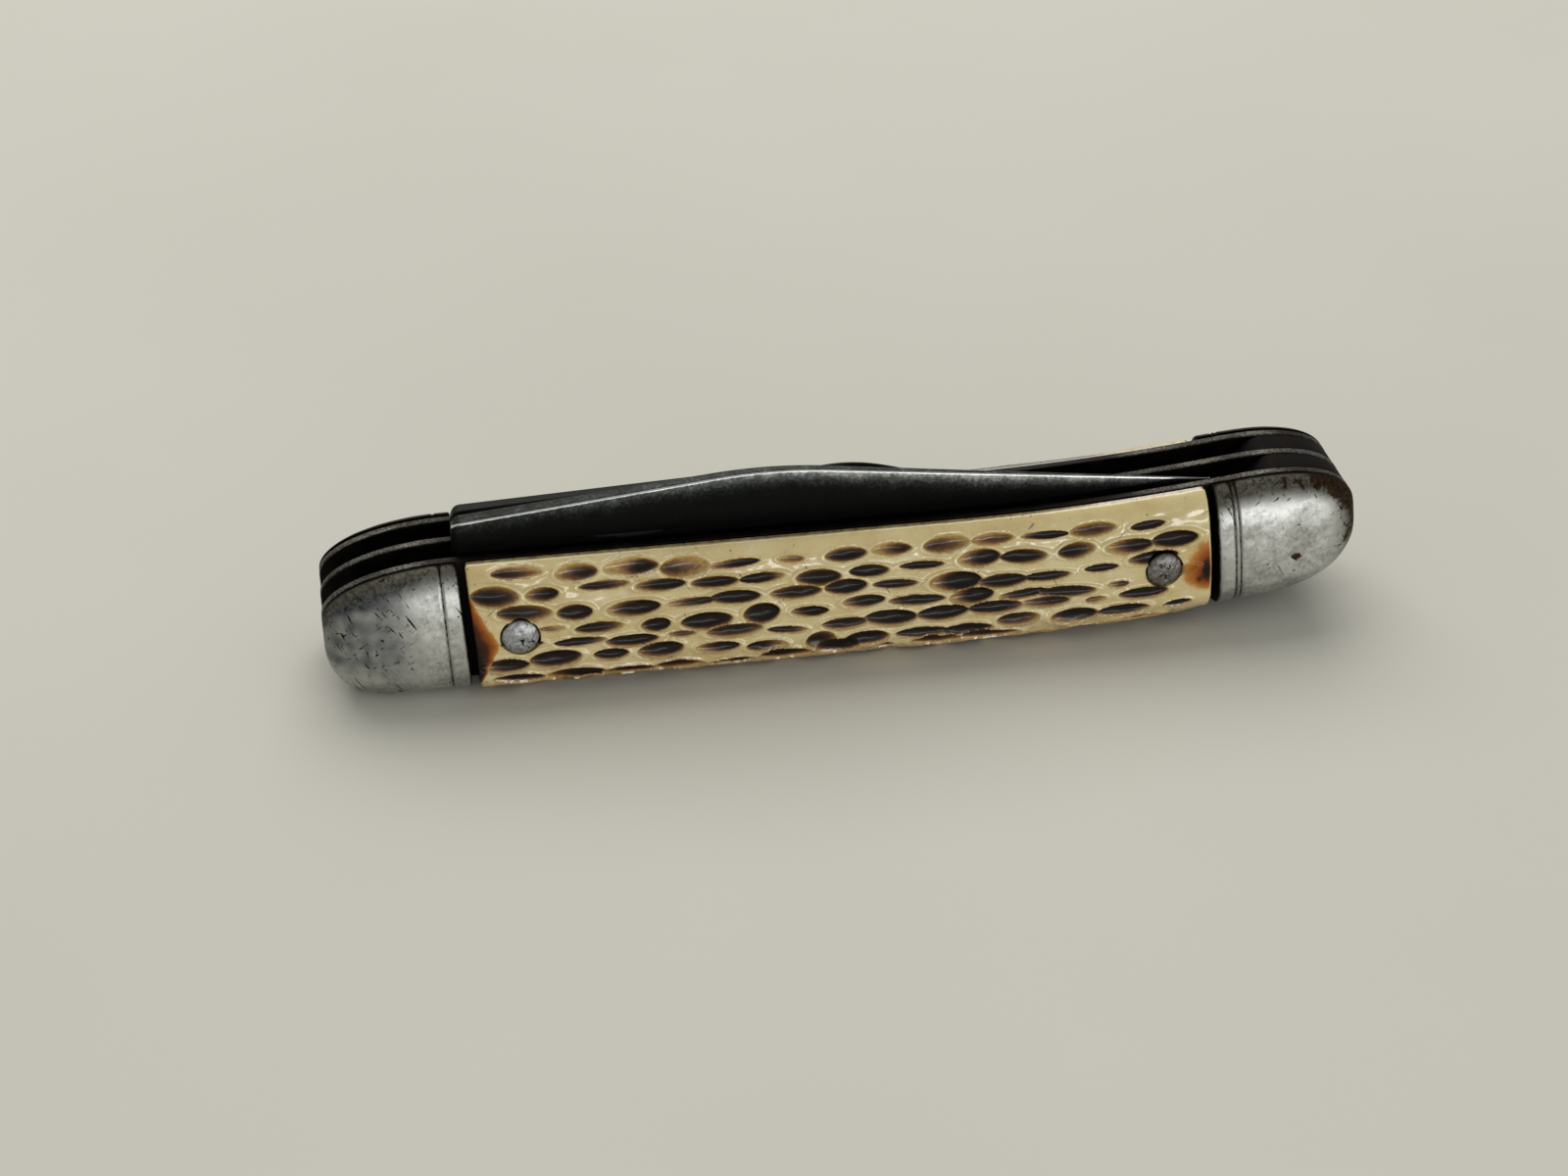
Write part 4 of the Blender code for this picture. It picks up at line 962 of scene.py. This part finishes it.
def cover_wear(side, seed, dye_stain_and_shade, from_pivot, from_butt, around):
    """Dye stain with painted shade, burn, dirt and browning towards the lower edge at every place of a
    cover, from its distances to the two ends and around from the slot edge: wedges and soft humps added
    up."""
    wavy = lumps(from_pivot, around, 1.6 * MM, seed + 5) * 0.14 * MM
    # scorch marks: soft wedges from the cover's ends, widest beside the rivets, charred at the butt
    rising, falling = (around - 2.6 * MM) / (4.6 * MM), (11.4 * MM - around) / (4.2 * MM)
    wedge = 2.2 * MM * np.clip(np.minimum(rising, falling), 1e-4, 1)
    pivot_burn = np.clip(1.05 - (from_pivot + wavy) / wedge, 0, 1)
    pivot_burn = pivot_burn * np.clip(0.3 + (around - 3 * MM) / (7 * MM), 0, 1.2)
    beside = around - 7.8 * MM
    beside = bell(beside, np.where(beside < 0, 2.7 * MM, 1.3 * MM))
    butt_burn = 0.72 * bell(np.maximum(from_butt + wavy * 0.6, 0), 1.8 * MM, 1.5) * beside
    butt_burn = butt_burn * ramp(from_butt, 0.1 * MM, 0.3 * MM)
    char = bell(from_butt - 0.5 * MM, 0.26 * MM) * bell(around - 7.4 * MM, 0.85 * MM)
    spot = bell(from_butt - 1.15 * MM, 0.26 * MM) * bell(around - 8.3 * MM, 0.32 * MM)
    burn = np.clip(np.maximum(pivot_burn, butt_burn) + 0.55 * char + 0.25 * spot, 0, 1)
    dirt = np.exp(-np.minimum(from_pivot, from_butt) / (0.12 * MM)) + np.exp(-around / (0.12 * MM))
    # fine dirty lines run along the lower edge, and grime lies along the rear cover's slot edge
    low = around.max() - around
    for line_at, line_seed in ((1.1 * MM, 61), (1.42 * MM, 62), (2.3 * MM, 63)):
        broken = np.clip(lumps(from_pivot, around, 6 * MM, line_seed), 0, 1)
        dirt += 1.6 * broken * bell(low - line_at + wavy * 0.4, 0.09 * MM)
    if side > 0:
        patchy = np.clip(0.6 + lumps(from_pivot, around, 9 * MM, 71), 0, 1.2)
        dirt += 1.3 * bell(around, 1.2 * MM) * patchy
    # the cover is made browner towards its lower edge, from 7 mm to 13 mm round from the slot edge
    dirt, low_browning = np.clip(dirt * 0.5, 0, 1), 1.2 * ramp(around, 7 * MM, 13 * MM)
    return {"dye_stain_and_shade": dye_stain_and_shade, "burn": burn * (around > 0), "dirt": dirt, "low_browning": low_browning}


BONE = imitation_bone()
for face, side, seed in (("front", -1, 7), ("rear", 1, 19)):
    points, faces, *marks = moulded_cover(side, seed)
    mesh = finished_mesh(face + "_cover_moulded", points, faces, sharp=60, merged=False)
    set_values(mesh, **cover_wear(side, seed, *marks))
    add_piece(mesh, face + "_cover", BONE)

# ---------------------------------------------------------------- cover rivets
# Each cover is held by two nickel-silver rivets through the outer liner. The heads are set by hand
# in counterbored seats: low domes, dull grey, pitted and ringed with old dirt.
RIVET_HEAD, RIVET_SHANK = 1.55 * MM, 0.8 * MM
RIVET_RIM, RIVET_DOME = 0.4 * MM, 0.5 * MM
RIVET_TAIL = 0.04 * MM
RIVET_LEAN = 0.11  # how far a head leans with the cover's dome, per height


def turned_rivet(seed):
    """A rivet, turned about its axis: dome radius R sin a and height rim + dome cos a, an upright rim,
    and the shank. A hammered unevenness is added to the dome and little pits are taken off it."""
    floor, tail = BASE + SEAT_FLOOR, HALF_STACK - LINER + RIVET_TAIL
    q = np.linspace(0.02, np.pi / 2, 30)
    radius = np.concatenate([RIVET_HEAD * np.sin(q), [RIVET_HEAD, RIVET_SHANK, RIVET_SHANK]])
    height = np.concatenate([floor + RIVET_RIM + RIVET_DOME * np.cos(q), [floor, floor, tail]])
    turn = np.linspace(0, 2 * np.pi, 96, endpoint=False)[None]
    x, z = radius[:, None] * np.cos(turn), radius[:, None] * np.sin(turn)
    on_dome = (np.arange(len(radius)) < len(q))[:, None]
    out = height[:, None] + on_dome * lumps(x, z, 1.1 * MM, seed) * 0.02 * MM
    rng = np.random.default_rng(seed)
    pits = rng.uniform(0.1, 1.3, 9), rng.uniform(0, 2 * np.pi, 9), rng.uniform(0.05, 0.16, 9)
    for far, at, size in zip(*pits):
        away = np.hypot(x - far * MM * math.cos(at), z - far * MM * math.sin(at)) / (size * MM)
        out -= on_dome * 0.05 * MM * np.clip(1 - away**2, 0, 1)
    return x, z, out - RIVET_LEAN * z


def nickel_silver():
    """Nickel silver rivet wire, peened: dull warm grey, scratched, with dirt in its pits and round its
    rim."""
    material, node, place = new_material("nickel_silver")
    grime, tarnish = [node("Attribute", attribute_name=name) for name in ("grime", "tarnish")]
    # hammer grain 0.31 mm and pits 0.67 mm wide, scratches 0.22 mm
    fine = node("TexNoise", {"Vector": place, "Scale": 3200, "Detail": 5, "Roughness": 0.7})
    patch = node("TexNoise", {
        "Vector": place, "Scale": 1500, "Detail": 5, "Roughness": 0.7, "Distortion": 0.8})
    bright = node("ValToRGB", (fine,), [(0.32, "85868A"), (0.68, "CDCED0")])
    brown = node("ValToRGB", (fine,), [(0.32, "3A3430"), (0.68, "7D756E")])
    holes = node("MapRange", (patch, 0.58, 0.61))
    dirty = node("Math", (grime, holes), operation="MAXIMUM")
    colour = bright
    for amount, over in ((tarnish, brown), (dirty, hex_colour("15110E"))):
        colour = node("Mix", {0: amount, 6: colour, 7: over}, data_type="RGBA")
    cuts = [scratches(node, place, *each) for each in ((0.9, 4200, 0.66), (-0.4, 5000, 0.67))]
    sunk = node("Math", cuts, operation="MAXIMUM")
    relief = node("Math", (sunk, -1.5, fine), operation="MULTIPLY_ADD")
    node("OutputMaterial", {"Surface": node("BsdfPrincipled", {
        "Base Color": colour,
        "Roughness": node("MapRange", (fine, 0.3, 0.7, 0.3, 0.5)),
        "Normal": node("Bump", {"Height": relief, "Strength": 0.4, "Distance": 0.03 * MM}),
        "Metallic": 1.0,
    })})
    return material


NICKEL_SILVER = nickel_silver()
for face, side in (("front", -1), ("rear", 1)):
    for end, station, seed, film in (
        ("pivot", RIVET_STATIONS[0], 31, 0.1),
        ("butt", RIVET_STATIONS[1], 47, 0.75),
    ):
        name = f"{face}_{end}_rivet"
        x, _, z = bent(station, RIVET_HEIGHT, 0)
        dx, dz, out = turned_rivet(seed + side)
        points = np.stack([x + dx, side * out, z + dz], -1).reshape(-1, 3)
        mesh = finished_mesh(name + "_set", points, closed_tube(*dx.shape))
        from_axis = np.hypot(*(places(mesh)[:, [0, 2]] - (x, z)).T)
        grime = ramp(from_axis, 1.4 * MM, RIVET_HEAD)
        set_values(mesh, grime=grime, tarnish=np.full_like(from_axis, film))
        add_piece(mesh, name, NICKEL_SILVER)

# ---------------------------------------------------------------- floor, light and camera
# The knife stands on a plain pale board under two soft lamps: a broad one high behind it, and a low
# narrow one in front of it, which draws the long highlights along the bolsters and the blades.
def painted_board():
    """Board with flat wall paint: pale warm grey, faintly clouded and hardly glossy."""
    material, node, place = new_material("painted_board")
    # clouds 110 mm wide
    cloud = node("TexNoise", {"Vector": place, "Scale": 9, "Detail": 4})
    node("OutputMaterial", {"Surface": node("BsdfPrincipled", {
        "Base Color": node("ValToRGB", (cloud,), [(0.3, "CDCCC4"), (0.7, "D3D2CB")]),
        "Roughness": 0.75,
    })})
    return material


board_mesh = bpy.data.meshes.new("board")
board_mesh.from_pydata([(-3, -3, 0), (3, -3, 0), (3, 3, 0), (-3, 3, 0)], [], [(0, 1, 2, 3)])
board_mesh.materials.append(painted_board())
board = bpy.data.objects.new("board", board_mesh)
bpy.context.scene.collection.objects.link(board)


def add_lamp(name, place, aim, size, power, tint, spread=180):
    """A rectangular soft lamp at a place, turned towards its aim, with its light's spread in degrees."""
    light = bpy.data.lights.new(name, "AREA")
    light.shape = "RECTANGLE"
    light.size, light.size_y = size
    light.energy = power
    light.spread = math.radians(spread)
    light.color = hex_colour(tint)[:3]
    lamp = bpy.data.objects.new(name, light)
    lamp.location = place
    lamp.rotation_euler = (Vector(aim) - Vector(place)).to_track_quat("-Z", "Y").to_euler()
    bpy.context.scene.collection.objects.link(lamp)


add_lamp("skylight", (-0.06, 0.6, 0.8), (0, 0, 0), (1.1, 0.8), 7.2, "FFFDF6")
add_lamp("low_window", (0.3, -0.72, 0.075), (0, 0, 0.01), (0.95, 0.1), 0.73, "FDFEFF", 115)
world = bpy.data.worlds.new("room")
world.use_nodes = True
bpy.context.scene.world = world
world.node_tree.nodes["Background"].inputs["Color"].default_value = hex_colour("F2F1EA")
world.node_tree.nodes["Background"].inputs["Strength"].default_value = 0.46

camera = bpy.data.objects.new("camera", bpy.data.cameras.new("camera"))
camera.location = (-37.48 * MM, -154.96 * MM, 122.43 * MM)
camera.rotation_euler = (math.radians(53.11), math.radians(-1.55), math.radians(-10.62))
camera.data.lens = 54
camera.data.sensor_width = 36
camera.data.clip_start = 0.005
bpy.context.scene.collection.objects.link(camera)
bpy.context.scene.camera = camera
bpy.context.scene.view_settings.view_transform = "Standard"
